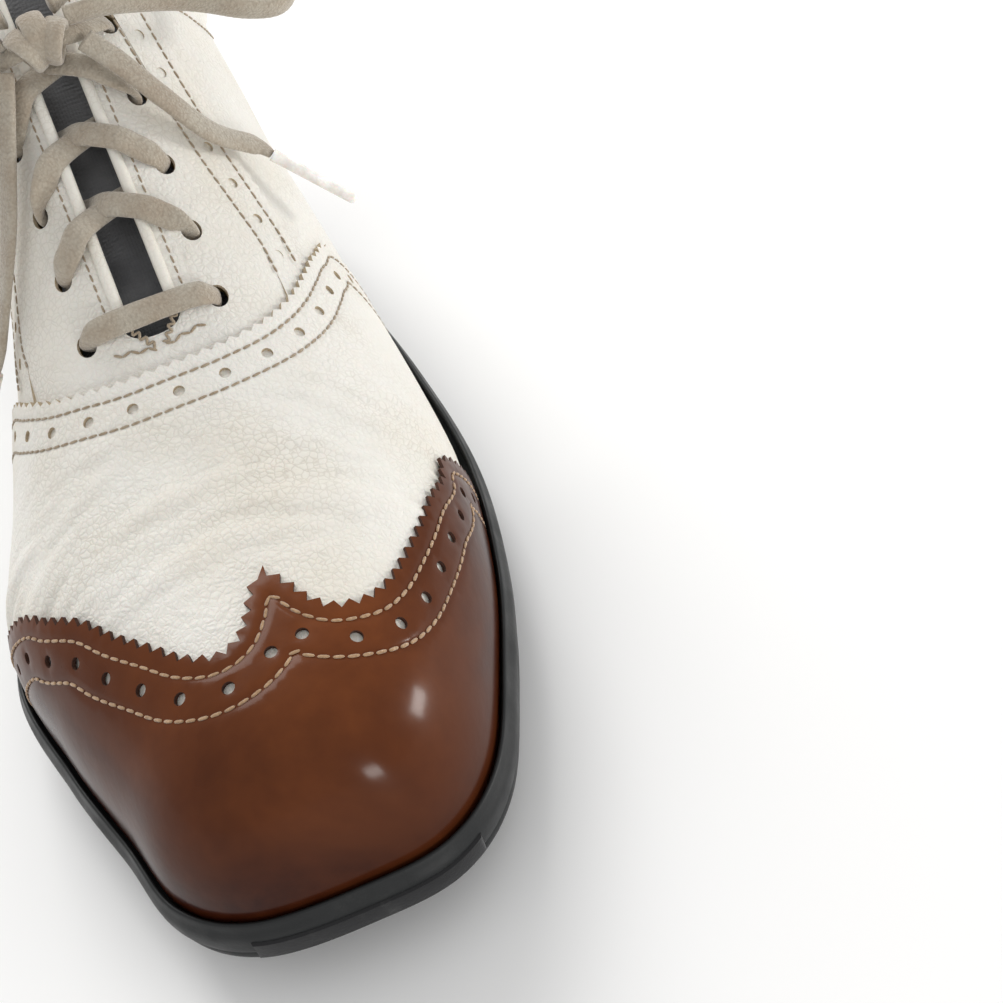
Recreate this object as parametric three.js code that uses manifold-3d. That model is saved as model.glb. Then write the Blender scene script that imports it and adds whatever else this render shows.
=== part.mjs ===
// Left shoe of a pair of golf oxfords with a wing-tip toe cap.
// Millimetres, +Z up, toe towards -Y, heel towards +Y, outer (lateral) side towards +X.
// Every layer of the upper is an offset of one last surface, so the layers keep even gaps.
import * as THREE from "three";
import { mergeVertices } from "three/addons/utils/BufferGeometryUtils.js";
import Module from "manifold-3d";

const wasm = await Module();
wasm.setup();

// ---------------------------------------------------------------- driving sizes
const LAST_LENGTH = 257.4; // feather line, toe to heel
const LAST_WIDTH = 101.4; // feather line, across the ball
const GAP = 0.4; // clearance between pieces that are stitched or glued together
const CAP_THICKNESS = 1.0;
const UPPER_THICKNESS = 1.1;
const STIFFENER_THICKNESS = 0.9;
const LINING_THICKNESS = 0.8;
const TONGUE_THICKNESS = 2.2;
const TONGUE_DROP = 3.8; // room for the lace between the facings and the tongue
const EYELET_ROWS = 5;
const EYELET_PITCH = 13.2; // along the plan of the facings
const FIRST_EYELET_Y = -15;
const EYELET_X = 14;
const EYELET_HOLE_RADIUS = 2.5;
const EYELET_RING_RADIUS = 4.4;
const LACE_RADIUS = 1.5;
const AGLET_RADIUS = 1.9;
const AGLET_LENGTH = 20;
const THROAT_HALF_WIDTH = 6.3; // between the facings, under the piping
const PIPING_RADIUS = 1.1;
const COLLAR_RADIUS = 2.6;
const RUBBER_WALL = 2.0; // rubber lip round the foot of the upper
const LIP_HEIGHT = 2.4; // lip above the feather line
const MIDSOLE_THICKNESS = 6.0; // below the feather line
const HEEL_LIFT_THICKNESS = 6.0;
const INSOLE_THICKNESS = 1.8;
const FOOTBED_THICKNESS = 3.6;
const CLEAT_RADIUS = 9.5;
const CLEAT_DISC = 2.0;
const CLEAT_LEG_HEIGHT = 2.8;
const CLEAT_LEGS = 6;
const STUD_RADIUS = 3.8;
const RECEPTACLE_RADIUS = 8.0;
const RECEPTACLE_HEIGHT = 4.0;
const GRID_ROWS = 23;
const GRID_COLUMNS = 7; // each side of the centre line

// ---------------------------------------------------------------- the last
// Stations are drawn for a last of the reference size and scaled to the driving sizes.
const REFERENCE_LENGTH = 257.4;
const REFERENCE_WIDTH = 101.4;
const scaleX = LAST_WIDTH / REFERENCE_WIDTH;
const scaleY = LAST_LENGTH / REFERENCE_LENGTH;
const HEEL_END = 137;
const TOE_END = -120.4;
const OUTER_SIDE = [
  [20.4, 131], [32.2, 113], [36.5, 88], [40.5, 50], [46.9, 10], [49, -28],
  [44.3, -61.5], [36.4, -86.9], [27.5, -107.7], [15.9, -118.5],
];
const INNER_SIDE = [
  [20, 131], [30.5, 113], [33.2, 88], [32.3, 55], [35.6, 22], [46.6, -10],
  [52.4, -42], [45.1, -70.8], [37.2, -92.3], [31.1, -109.2], [19.2, -118.5],
];
const OUTLINE = [
  [0, HEEL_END],
  ...OUTER_SIDE,
  [0, TOE_END],
  ...INNER_SIDE.map(([x, y]) => [-x, y]).reverse(),
];
const TOE_PARAMETER = (OUTER_SIDE.length + 1) / OUTLINE.length;
const STATIONS = [-138, -105, -66, -20, 0, 55, 100, 137];
const FEATHER_DROP = 2; // the upper runs this far behind the rubber lip
const RIDGE_HEIGHT = [20.7, 32.7, 38.7, 53.8, 67.4, 105.3, 151.5, 160].map((h) => h + FEATHER_DROP);
const FEATHER_HEIGHT = [25, 20.3, 19.8, 18.4, 18.5, 23.5, 28, 30].map((z) => z - FEATHER_DROP);
const PLAN_POWER = [3.23, 2.67, 2.58, 2.27, 1.85, 2.2, 2.4, 2.3];
const HEIGHT_POWER = [2.4, 1.85, 2.35, 1.8, 2.0, 2.3, 2.2, 2.4];
const RIDGE_REACH = 104;
const SPREAD = 138;

// Smooth curve through values at stations, with straight ends.
function along(values, y, stations = STATIONS) {
  const n = stations.length;
  const step = stations.slice(1).map((s, i) => s - stations[i]);
  const slope = step.map((h, i) => (values[i + 1] - values[i]) / h);
  const tangent = stations.map((_, i) => {
    if (i === 0) return slope[0];
    if (i === n - 1) return slope[n - 2];
    return (slope[i - 1] * step[i] + slope[i] * step[i - 1]) / (step[i] + step[i - 1]);
  });
  let i = 0;
  while (i < n - 2 && y > stations[i + 1]) i += 1;
  const t = (y - stations[i]) / step[i];
  if (t < 0) return values[0] + t * step[0] * tangent[0];
  if (t > 1) return values[n - 1] + (t - 1) * step[n - 2] * tangent[n - 1];
  const a = values[i];
  const b = values[i + 1];
  const h = step[i];
  const t2 = t * t;
  const t3 = t2 * t;
  return (
    (2 * t3 - 3 * t2 + 1) * a + (t3 - 2 * t2 + t) * h * tangent[i] +
    (3 * t2 - 2 * t3) * b + (t3 - t2) * h * tangent[i + 1]
  );
}

// Closed Catmull-Rom outline of the feather line; parameter 0 is the heel, rising along +X.
function outlinePoint(parameter) {
  const n = OUTLINE.length;
  const x = (((parameter % 1) + 1) % 1) * n;
  const i = Math.floor(x);
  const f = x - i;
  const p = [-1, 0, 1, 2].map((k) => OUTLINE[(i + k + n) % n]);
  return [0, 1].map(
    (c) =>
      0.5 *
      (2 * p[1][c] +
        (p[2][c] - p[0][c]) * f +
        (2 * p[0][c] - 5 * p[1][c] + 4 * p[2][c] - p[3][c]) * f * f +
        (3 * p[1][c] - p[0][c] - 3 * p[2][c] + p[3][c]) * f * f * f),
  );
}

// Outline parameter on one side (+1 outer, -1 inner) at a station.
function parameterAt(y, side) {
  let low = 0;
  let high = side > 0 ? TOE_PARAMETER : 1 - TOE_PARAMETER;
  for (let k = 0; k < 50; k += 1) {
    const mid = (low + high) / 2;
    if (outlinePoint(side * mid)[1] > y) low = mid;
    else high = mid;
  }
  return side * (low + high) * 0.5;
}

// Point of the last: outline parameter and rise (0 feather line, 1 centre ridge).
function lastPoint(parameter, rise) {
  const [px, py] = outlinePoint(parameter);
  const centre = RIDGE_REACH * Math.sin((Math.PI / 2) * Math.max(-1, Math.min(1, py / SPREAD)));
  const angle = (Math.PI / 2) * rise;
  const rho = Math.max(0, Math.cos(angle)) ** (2 / along(PLAN_POWER, centre));
  const zeta = Math.sin(angle) ** (2 / along(HEIGHT_POWER, centre));
  const y = centre + (py - centre) * rho;
  const z = along(FEATHER_HEIGHT, y) + along(RIDGE_HEIGHT, y) * zeta;
  return new THREE.Vector3(px * rho * scaleX, y * scaleY, z);
}

// ---------------------------------------------------------------- grid of the last
// Rows run from toe to heel; columns from the outer feather line over the ridge to the inner one.
function makeGrid(rows, columns) {
  const samples = 400;
  const arc = [0];
  const ys = [];
  for (let k = 0; k <= samples; k += 1) {
    const p = outlinePoint(TOE_PARAMETER * (1 - k / samples));
    const q = outlinePoint(TOE_PARAMETER * (1 - Math.max(0, k - 1) / samples));
    if (k > 0) arc.push(arc[k - 1] + Math.hypot(p[0] - q[0], p[1] - q[1]));
    ys.push(p[1]);
  }
  const grid = [];
  for (let i = 0; i <= rows; i += 1) {
    const target = (arc[samples] * i) / rows;
    let k = 0;
    while (k < samples && arc[k] < target - 1e-9) k += 1;
    const y = i === 0 ? TOE_END : i === rows ? HEEL_END : ys[k];
    const ends = { 1: parameterAt(y, 1), "-1": parameterAt(y, -1) };
    if (i === 0) ends[1] = ends[-1] = TOE_PARAMETER;
    if (i === rows) ends[1] = ends[-1] = 0;
    const row = [];
    for (let j = -columns; j <= columns; j += 1) {
      const side = j > 0 ? -1 : 1;
      const point = lastPoint(ends[side], 1 - Math.abs(j) / columns);
      row.push({ point, station: y });
    }
    grid.push(row);
  }
  const at = (i, j) => {
    if (i < 0) return grid[-i][2 * columns - j].point;
    if (i > rows) return grid[2 * rows - i][2 * columns - j].point;
    return grid[i][j].point;
  };
  for (let i = 0; i <= rows; i += 1) {
    for (let j = 0; j <= 2 * columns; j += 1) {
      const lengthwise = new THREE.Vector3().subVectors(at(i + 1, j), at(i - 1, j));
      const across = new THREE.Vector3().subVectors(
        at(i, Math.max(0, j - 1)),
        at(i, Math.min(2 * columns, j + 1)),
      );
      const folded = i === 0 || i === rows;
      if (folded && j === columns) {
        const inside = i === 0 ? 1 : rows - 1;
        across.subVectors(at(inside, j - 1), at(inside, j + 1));
        lengthwise.subVectors(at(inside, j), at(i, j + 1)).multiplyScalar(i === 0 ? 1 : -1);
      }
      const normal = new THREE.Vector3().crossVectors(across, lengthwise);
      if (j === 0 || j === 2 * columns) normal.z = 0;
      grid[i][j].normal = normal.normalize();
    }
  }
  return grid;
}

// ---------------------------------------------------------------- solids
// Closed solid from an indexed list of points and triangles.
function solidFrom(points, triangles) {
  const vertProperties = new Float32Array(points.flatMap((p) => [p.x, p.y, p.z]));
  const triVerts = new Uint32Array(triangles.flat());
  return new wasm.Manifold(new wasm.Mesh({ numProp: 3, vertProperties, triVerts }));
}

function solidOf(geometry) {
  const bare = geometry.clone();
  bare.deleteAttribute("normal");
  bare.deleteAttribute("uv");
  const merged = mergeVertices(bare, 1e-4);
  return new wasm.Manifold(
    new wasm.Mesh({
      numProp: 3,
      vertProperties: merged.attributes.position.array,
      triVerts: new Uint32Array(merged.index.array),
    }),
  );
}

const grid = makeGrid(GRID_ROWS, GRID_COLUMNS);

// Dome between two offsets of the last, open underneath; offsets may vary with the station.
function dome(outerOffset, innerOffset) {
  const columns = 2 * GRID_COLUMNS;
  const points = [];
  const index = new Map();
  const vertex = (i, j, skin) => {
    const folded = i === 0 || i === GRID_ROWS;
    const column = folded ? Math.min(j, columns - j) : j;
    const key = `${i} ${column} ${skin}`;
    if (!index.has(key)) {
      const { point, normal, station } = grid[i][column];
      const offset = skin === 0 ? outerOffset(station) : innerOffset(station);
      index.set(key, points.length);
      points.push(point.clone().addScaledVector(normal, offset));
    }
    return index.get(key);
  };
  const triangles = [];
  const quad = (a, b, c, d) => triangles.push([a, b, c], [a, c, d]);
  for (let i = 0; i < GRID_ROWS; i += 1) {
    for (let j = 0; j < columns; j += 1) {
      quad(vertex(i, j, 0), vertex(i, j + 1, 0), vertex(i + 1, j + 1, 0), vertex(i + 1, j, 0));
      quad(vertex(i, j, 1), vertex(i + 1, j, 1), vertex(i + 1, j + 1, 1), vertex(i, j + 1, 1));
    }
    quad(vertex(i, 0, 0), vertex(i + 1, 0, 0), vertex(i + 1, 0, 1), vertex(i, 0, 1));
    quad(vertex(i, columns, 0), vertex(i, columns, 1), vertex(i + 1, columns, 1), vertex(i + 1, columns, 0));
  }
  const clean = triangles.filter(([a, b, c]) => a !== b && b !== c && a !== c);
  const made = solidFrom(points, clean);
  return made.volume() > 0 ? made : solidFrom(points, clean.map(([a, b, c]) => [a, c, b]));
}

const layer = (outer, inner) => dome(() => outer, () => inner);

// Outline without repeated points or points on a straight run.
function corners(outline) {
  const n = outline.length;
  return outline.filter(([x, y], i) => {
    const [px, py] = outline[(i + n - 1) % n];
    const [qx, qy] = outline[(i + 1) % n];
    return Math.abs((x - px) * (qy - y) - (y - py) * (qx - x)) > 1e-6;
  });
}

function extruded(outline, low, high) {
  const shape = new THREE.Shape(corners(outline).map(([x, y]) => new THREE.Vector2(x, y)));
  const geometry = new THREE.ExtrudeGeometry(shape, { depth: high - low, bevelEnabled: false });
  geometry.translate(0, 0, low);
  return geometry;
}

// Prism over a plan outline drawn at reference stations.
function planPrism(outline, low = -20, high = 260) {
  return solidOf(extruded(outline.map(([x, y]) => [x * scaleX, y * scaleY]), low, high));
}

// Prism through the whole width over a side outline of (station, height).
function sidePrism(outline) {
  const geometry = extruded(outline.map(([y, z]) => [y * scaleY, z]), -120, 120);
  const turn = new THREE.Matrix4().makeBasis(
    new THREE.Vector3(0, 1, 0),
    new THREE.Vector3(0, 0, 1),
    new THREE.Vector3(1, 0, 0),
  );
  geometry.applyMatrix4(turn);
  return solidOf(geometry);
}

function box(x0, x1, y0, y1, z0, z1) {
  const geometry = new THREE.BoxGeometry(x1 - x0, y1 - y0, z1 - z0);
  geometry.translate((x0 + x1) / 2, (y0 + y1) / 2, (z0 + z1) / 2);
  return solidOf(geometry);
}

// Flat-bottomed or curved slab of the sole: an outline set out or in, between two heights.
function soleSlab(outset, top, bottom, frontStation = TOE_END - 12) {
  const rows = 24;
  const section = [];
  for (let i = 0; i <= rows; i += 1) {
    const turn = (1 - Math.cos((Math.PI * i) / rows)) / 2;
    section.push(TOE_END + (HEEL_END - TOE_END) * turn);
  }
  const edge = (y, side) => {
    const v = parameterAt(Math.min(HEEL_END - 0.02, Math.max(TOE_END + 0.02, y)), side);
    const step = 1e-3;
    const before = outlinePoint(v - step);
    const after = outlinePoint(v + step);
    const here = outlinePoint(v);
    const dx = (after[0] - before[0]) * scaleX;
    const dy = (after[1] - before[1]) * scaleY;
    const length = Math.hypot(dx, dy);
    return [here[0] * scaleX - (dy / length) * outset, here[1] * scaleY + (dx / length) * outset];
  };
  const right = section.map((y) => edge(y, 1));
  const left = section.map((y) => edge(y, -1));
  const ring = [...left.slice().reverse(), ...right];
  const outlineSolid = solidOf(extruded(ring, -60, 140));
  const stations = [];
  for (let y = frontStation; y <= HEEL_END + 16; y += 15) stations.push(y);
  const profile = [
    ...stations.map((y) => [y, bottom(y)]),
    ...stations.slice().reverse().map((y) => [y, top(y)]),
  ];
  return outlineSolid.intersect(sidePrism(profile));
}

// Tube along a route with flat ends.
function tube(route, radius, sides, steps) {
  const section = new THREE.Shape();
  for (let k = 0; k < sides; k += 1) {
    const angle = (2 * Math.PI * (k + 0.5)) / sides;
    const x = radius * Math.cos(angle);
    const y = radius * Math.sin(angle);
    if (k === 0) section.moveTo(x, y);
    else section.lineTo(x, y);
  }
  section.closePath();
  const path = new THREE.CatmullRomCurve3(route, false, "centripetal");
  return solidOf(new THREE.ExtrudeGeometry(section, { steps, extrudePath: path, bevelEnabled: false }));
}

// ---------------------------------------------------------------- places on the last
// Nearest surface point and normal above a plan position, at an offset from the surface.
function surfaceFrame(x, y) {
  const side = x >= 0 ? 1 : -1;
  let low = TOE_END;
  let high = HEEL_END;
  let rise = 0.7;
  for (let pass = 0; pass < 40; pass += 1) {
    low = TOE_END;
    high = HEEL_END;
    for (let k = 0; k < 30; k += 1) {
      const mid = (low + high) / 2;
      if (lastPoint(parameterAt(mid, side), rise).y < y * scaleY) low = mid;
      else high = mid;
    }
    const v = parameterAt((low + high) / 2, side);
    let inner = 0;
    let outer = 1;
    for (let k = 0; k < 30; k += 1) {
      const mid = (inner + outer) / 2;
      if (Math.abs(lastPoint(v, mid).x) > Math.abs(x) * scaleX) inner = mid;
      else outer = mid;
    }
    const next = (inner + outer) / 2;
    if (Math.abs(next - rise) < 1e-6) break;
    rise = next;
  }
  const v = parameterAt((low + high) / 2, side);
  const point = lastPoint(v, rise);
  const e = 2e-3;
  const lengthwise = new THREE.Vector3().subVectors(lastPoint(v + e, rise), lastPoint(v - e, rise));
  const across = new THREE.Vector3().subVectors(
    lastPoint(v, Math.min(1, rise + e)),
    lastPoint(v, rise - e),
  );
  const normal = new THREE.Vector3().crossVectors(lengthwise, across).normalize();
  if (normal.z < 0) normal.negate();
  return { point, normal };
}

function onSurface(x, y, offset) {
  const { point, normal } = surfaceFrame(x, y);
  return point.addScaledVector(normal, offset);
}

// ---------------------------------------------------------------- layers, from outside in
const CAP_OUTER = CAP_THICKNESS;
const CAP_INNER = 0;
const UPPER_OUTER = CAP_INNER - GAP;
const UPPER_INNER = UPPER_OUTER - UPPER_THICKNESS;
const STIFFENER_OUTER = UPPER_INNER - GAP;
const STIFFENER_INNER = STIFFENER_OUTER - STIFFENER_THICKNESS;
const LINING_OUTER = STIFFENER_INNER - GAP;
const LINING_INNER = LINING_OUTER - LINING_THICKNESS;

// Seam lines in plan, at reference stations, outer side positive.
const WING_EDGE = [
  [60, -33], [50, -38], [43.5, -48], [41, -56], [37, -63.5], [33, -71], [28.5, -78], [24, -84],
  [19, -88], [13, -88.5], [9, -85.5], [6.5, -80.5], [3.5, -77], [1, -80], [-1, -85], [-4, -89],
  [-9, -90], [-14.5, -87], [-20, -81], [-26, -74], [-31, -67], [-38, -60], [-44.5, -52],
  [-53, -36], [-60, -31],
];
const VAMP_EDGE = [
  [70, 34], [41, 12], [36.5, 3], [33, -5], [29, -12.5], [24, -18.5], [17.5, -23], [9, -25.5],
  [0, -26], [-10, -25.5], [-18, -23], [-25, -19], [-31, -12], [-35, -4], [-39.5, 5], [-44, 14],
  [-70, 34],
];
const FACING_EDGE = [
  [34.6, -1.5], [32.5, 5], [30.5, 12], [28.5, 19], [26.5, 27], [24.5, 36], [23, 46], [22.5, 60],
];
const THROAT_BOTTOM = -19;
const TOPLINE = [
  [48.5, 121], [50.5, 112], [54.5, 103.5], [61, 95.5], [69, 88.5], [78, 83.5], [88, 81.5],
  [99, 83], [110, 88], [120, 93.5], [130, 97.5], [150, 100],
];
const HEEL_CAP_EDGE = [[84, 10], [88, 34], [96, 50], [108, 60], [122, 66], [160, 70], [160, 10]];

const inFrontOf = (edge) => planPrism([...edge, [-90, -170], [90, -170]]);
const behind = (edge) => planPrism([...edge.slice().reverse(), [90, 190], [-90, 190]]);
const shifted = (edge, dy) => edge.map(([x, y]) => [x, y + dy]);
const aboveTopline = sidePrism([[48.5, 260], ...TOPLINE, [170, 100], [170, 260]]);
const throatSlot = planPrism([
  [-THROAT_HALF_WIDTH, 90], [-THROAT_HALF_WIDTH, THROAT_BOTTOM + 3],
  [-THROAT_HALF_WIDTH * 0.6, THROAT_BOTTOM], [THROAT_HALF_WIDTH * 0.6, THROAT_BOTTOM],
  [THROAT_HALF_WIDTH, THROAT_BOTTOM + 3], [THROAT_HALF_WIDTH, 90],
]);

function eyeletPlaces() {
  const places = [];
  for (let row = 0; row < EYELET_ROWS; row += 1) {
    for (const side of [1, -1]) {
      places.push({ row, side, x: side * EYELET_X, y: FIRST_EYELET_Y + EYELET_PITCH * row });
    }
  }
  return places;
}

function alongNormal(geometry, x, y, offset) {
  const { point, normal } = surfaceFrame(x, y);
  const turn = new THREE.Quaternion().setFromUnitVectors(new THREE.Vector3(0, 0, 1), normal);
  geometry.applyQuaternion(turn);
  const place = point.addScaledVector(normal, offset);
  geometry.translate(place.x, place.y, place.z);
  return geometry;
}

function eyeletHole(x, y) {
  const pin = new THREE.CylinderGeometry(EYELET_HOLE_RADIUS, EYELET_HOLE_RADIUS, 16, 8);
  pin.rotateX(Math.PI / 2);
  return solidOf(alongNormal(pin, x, y, -2));
}

// Flat blind ring under the facing.
function eyeletRing(x, y) {
  const half = 0.35;
  const profile = [
    new THREE.Vector2(EYELET_HOLE_RADIUS, -half),
    new THREE.Vector2(EYELET_RING_RADIUS, -half),
    new THREE.Vector2(EYELET_RING_RADIUS, half),
    new THREE.Vector2(EYELET_HOLE_RADIUS, half),
    new THREE.Vector2(EYELET_HOLE_RADIUS, -half),
  ];
  const ring = new THREE.LatheGeometry(profile, 8);
  ring.rotateX(Math.PI / 2);
  return solidOf(alongNormal(ring, x, y, (UPPER_INNER + LINING_OUTER) / 2 - 0.15));
}

// ---------------------------------------------------------------- the upper
const allEyeletHoles = wasm.Manifold.union(eyeletPlaces().map(({ x, y }) => eyeletHole(x, y)));

function makeUpper() {
  const pieces = {};
  const overlay = layer(CAP_OUTER, CAP_INNER);
  pieces.toe_cap = overlay.intersect(inFrontOf(WING_EDGE));
  const heelCap = overlay.intersect(sidePrism(HEEL_CAP_EDGE));
  pieces.heel_cap = heelCap;
  const stayHalf = 8;
  const stay = box(-stayHalf, stayHalf, 100 * scaleY, 200 * scaleY, 66.8 + GAP + 3, 200);
  pieces.back_stay = overlay.intersect(stay).subtract(aboveTopline).subtract(
    sidePrism(HEEL_CAP_EDGE.map(([y, z]) => [y, z + GAP])),
  );
  const base = layer(UPPER_OUTER, UPPER_INNER).subtract(aboveTopline);
  pieces.vamp = base.intersect(inFrontOf(VAMP_EDGE));
  const rear = base
    .intersect(behind(shifted(VAMP_EDGE, GAP)))
    .subtract(throatSlot)
    .subtract(allEyeletHoles);
  for (const [side, name] of [[1, "outer"], [-1, "inner"]]) {
    const facingRegion = planPrism(
      [[side * GAP * 0.5, -60], [side * FACING_EDGE[0][0], -60], ...FACING_EDGE.map(([x, y]) => [side * x, y]),
        [side * GAP * 0.5, 60]],
    );
    const quarterRegion = planPrism([
      [side * (FACING_EDGE[0][0] + GAP), -60], [side * 90, -60], [side * 90, 190], [side * GAP * 0.5, 190],
      [side * GAP * 0.5, 60], ...FACING_EDGE.slice().reverse().map(([x, y]) => [side * (x + GAP), y]),
    ]);
    pieces[`facing_${name}`] = largest(rear.intersect(facingRegion));
    pieces[`quarter_${name}`] = largest(rear.intersect(quarterRegion));
  }
  const middle = layer(STIFFENER_OUTER, STIFFENER_INNER).subtract(aboveTopline);
  pieces.toe_puff = middle.intersect(planPrism([[90, -76], [-90, -76], [-90, -170], [90, -170]]));
  pieces.heel_counter = middle.intersect(sidePrism([[88, 5], [96, 64], [170, 72], [170, 5]]));
  const foamBand = [[62, 130], [62, 84], [80, 71], [95, 70], [110, 73.5], [170, 74], [170, 130]];
  pieces.collar_foam = middle.intersect(sidePrism(foamBand));
  const lining = layer(LINING_OUTER, LINING_INNER).subtract(aboveTopline);
  const stayEdge = EYELET_X + EYELET_RING_RADIUS;
  const liningSlot = planPrism([
    [-stayEdge, 90], [-stayEdge, THROAT_BOTTOM], [stayEdge, THROAT_BOTTOM], [stayEdge, 90],
  ]);
  const open = lining.subtract(liningSlot);
  pieces.vamp_lining = open.intersect(planPrism([[90, -20], [-90, -20], [-90, -170], [90, -170]]));
  const rearLining = open.intersect(planPrism([[-90, -20 + GAP], [90, -20 + GAP], [90, 190], [-90, 190]]));
  pieces.quarter_lining = rearLining;
  return pieces;
}

function largest(solid) {
  const parts = solid.decompose();
  parts.sort((a, b) => b.volume() - a.volume());
  return parts[0];
}

// The tongue lies under the lining in front and drops to leave room for the lace.
function makeTongue() {
  const drop = (station) => {
    const t = Math.min(1, Math.max(0, (station + 40) / 18));
    return LINING_INNER - GAP - TONGUE_DROP * t * t * (3 - 2 * t);
  };
  const region = planPrism([
    [20, -44], [21, -10], [20, 20], [19, 45], [17, 56], [12, 61], [-12, 61], [-17, 56],
    [-19, 45], [-20, 20], [-21, -10], [-20, -44],
  ]).intersect(sidePrism([[-60, 30], [0, 52], [25, 66], [70, 96], [70, 200], [-60, 200]]));
  const shell = dome(drop, (s) => drop(s) - TONGUE_THICKNESS);
  const padding = dome(
    (s) => drop(s) - TONGUE_THICKNESS - GAP,
    (s) => drop(s) - TONGUE_THICKNESS - GAP - LINING_THICKNESS,
  );
  return { tongue: shell.intersect(region), tongue_lining: padding.intersect(region) };
}

// Rolled white piping on the throat edges of the facings.
function makePiping(side) {
  const route = [];
  const x = THROAT_HALF_WIDTH - PIPING_RADIUS - 0.3;
  for (let y = THROAT_BOTTOM + 6; y <= 47; y += 6) {
    route.push(onSurface(side * x, y, (UPPER_OUTER + UPPER_INNER) / 2 - 0.5));
  }
  return tube(route, PIPING_RADIUS, 8, 14);
}

// Padded roll that closes the top edge from one facing round the heel to the other.
function makeCollar() {
  const route = [];
  const middle = (CAP_INNER + LINING_INNER) / 2;
  const topAt = (y) => along(TOPLINE.map((p) => p[1]), y, TOPLINE.map((p) => p[0]));
  const edgePoint = (station, side) => {
    const v = station >= HEEL_END ? 0 : parameterAt(station, side);
    let low = 0;
    let high = 1;
    for (let k = 0; k < 40; k += 1) {
      const rise = (low + high) / 2;
      const p = lastPoint(v, rise);
      if (p.z < topAt(p.y / scaleY)) low = rise;
      else high = rise;
    }
    const p = lastPoint(v, low);
    const y = p.y / scaleY;
    const slope = (topAt(y + 0.5) - topAt(y - 0.5)) / scaleY;
    const lift = COLLAR_RADIUS + GAP + 0.2;
    const outward = new THREE.Vector3(p.x, p.y - 60 * scaleY, 0).normalize();
    const up = new THREE.Vector3(0, -slope, 1).normalize();
    return p.addScaledVector(outward, middle).addScaledVector(up, lift);
  };
  for (const y of [64, 76, 88, 100, 111, 121, 129, 135]) route.push(edgePoint(y, 1));
  const back = edgePoint(HEEL_END, 1);
  const other = [135, 129, 121, 111, 100, 88, 76, 64].map((y) => edgePoint(y, -1));
  return tube([...route, back, ...other], COLLAR_RADIUS, 8, 26);
}

// ---------------------------------------------------------------- the sole
const FEATHER = (y) => along(FEATHER_HEIGHT, y);
const TREAD_STATIONS = [-138, -120, -98, -75, -20, 5, 30, 52, 60, 137];
const TREAD_HEIGHT = [13, 10.5, 6.6, 5, 5, 8, 11.5, 11.5, 11, 11];
const GROUND_TO_TREAD = 5;
const TREAD = (y) => Math.max(GROUND_TO_TREAD, along(TREAD_HEIGHT, y, TREAD_STATIONS));
const HEEL_FRONT = 60;

const CLEAT_PLACES = [
  [-19, -82], [23, -80], [-36, -48], [34, -44], [0, -30], [-17, 96], [18, 97],
];
const SOLE_OUTSET = CAP_OUTER + GAP + RUBBER_WALL;

function cleatPlaces() {
  return CLEAT_PLACES.map(([x, y], i) => {
    const heel = y > HEEL_FRONT;
    return { name: `${i + 1}`, x: x * scaleX, y: y * scaleY, base: heel ? GROUND_TO_TREAD : GROUND_TO_TREAD, heel };
  });
}

function upright(radius, low, high, x, y, sides = 12) {
  const geometry = new THREE.CylinderGeometry(radius, radius, high - low, sides);
  geometry.rotateX(Math.PI / 2);
  geometry.translate(x, y, (low + high) / 2);
  return solidOf(geometry);
}

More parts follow.
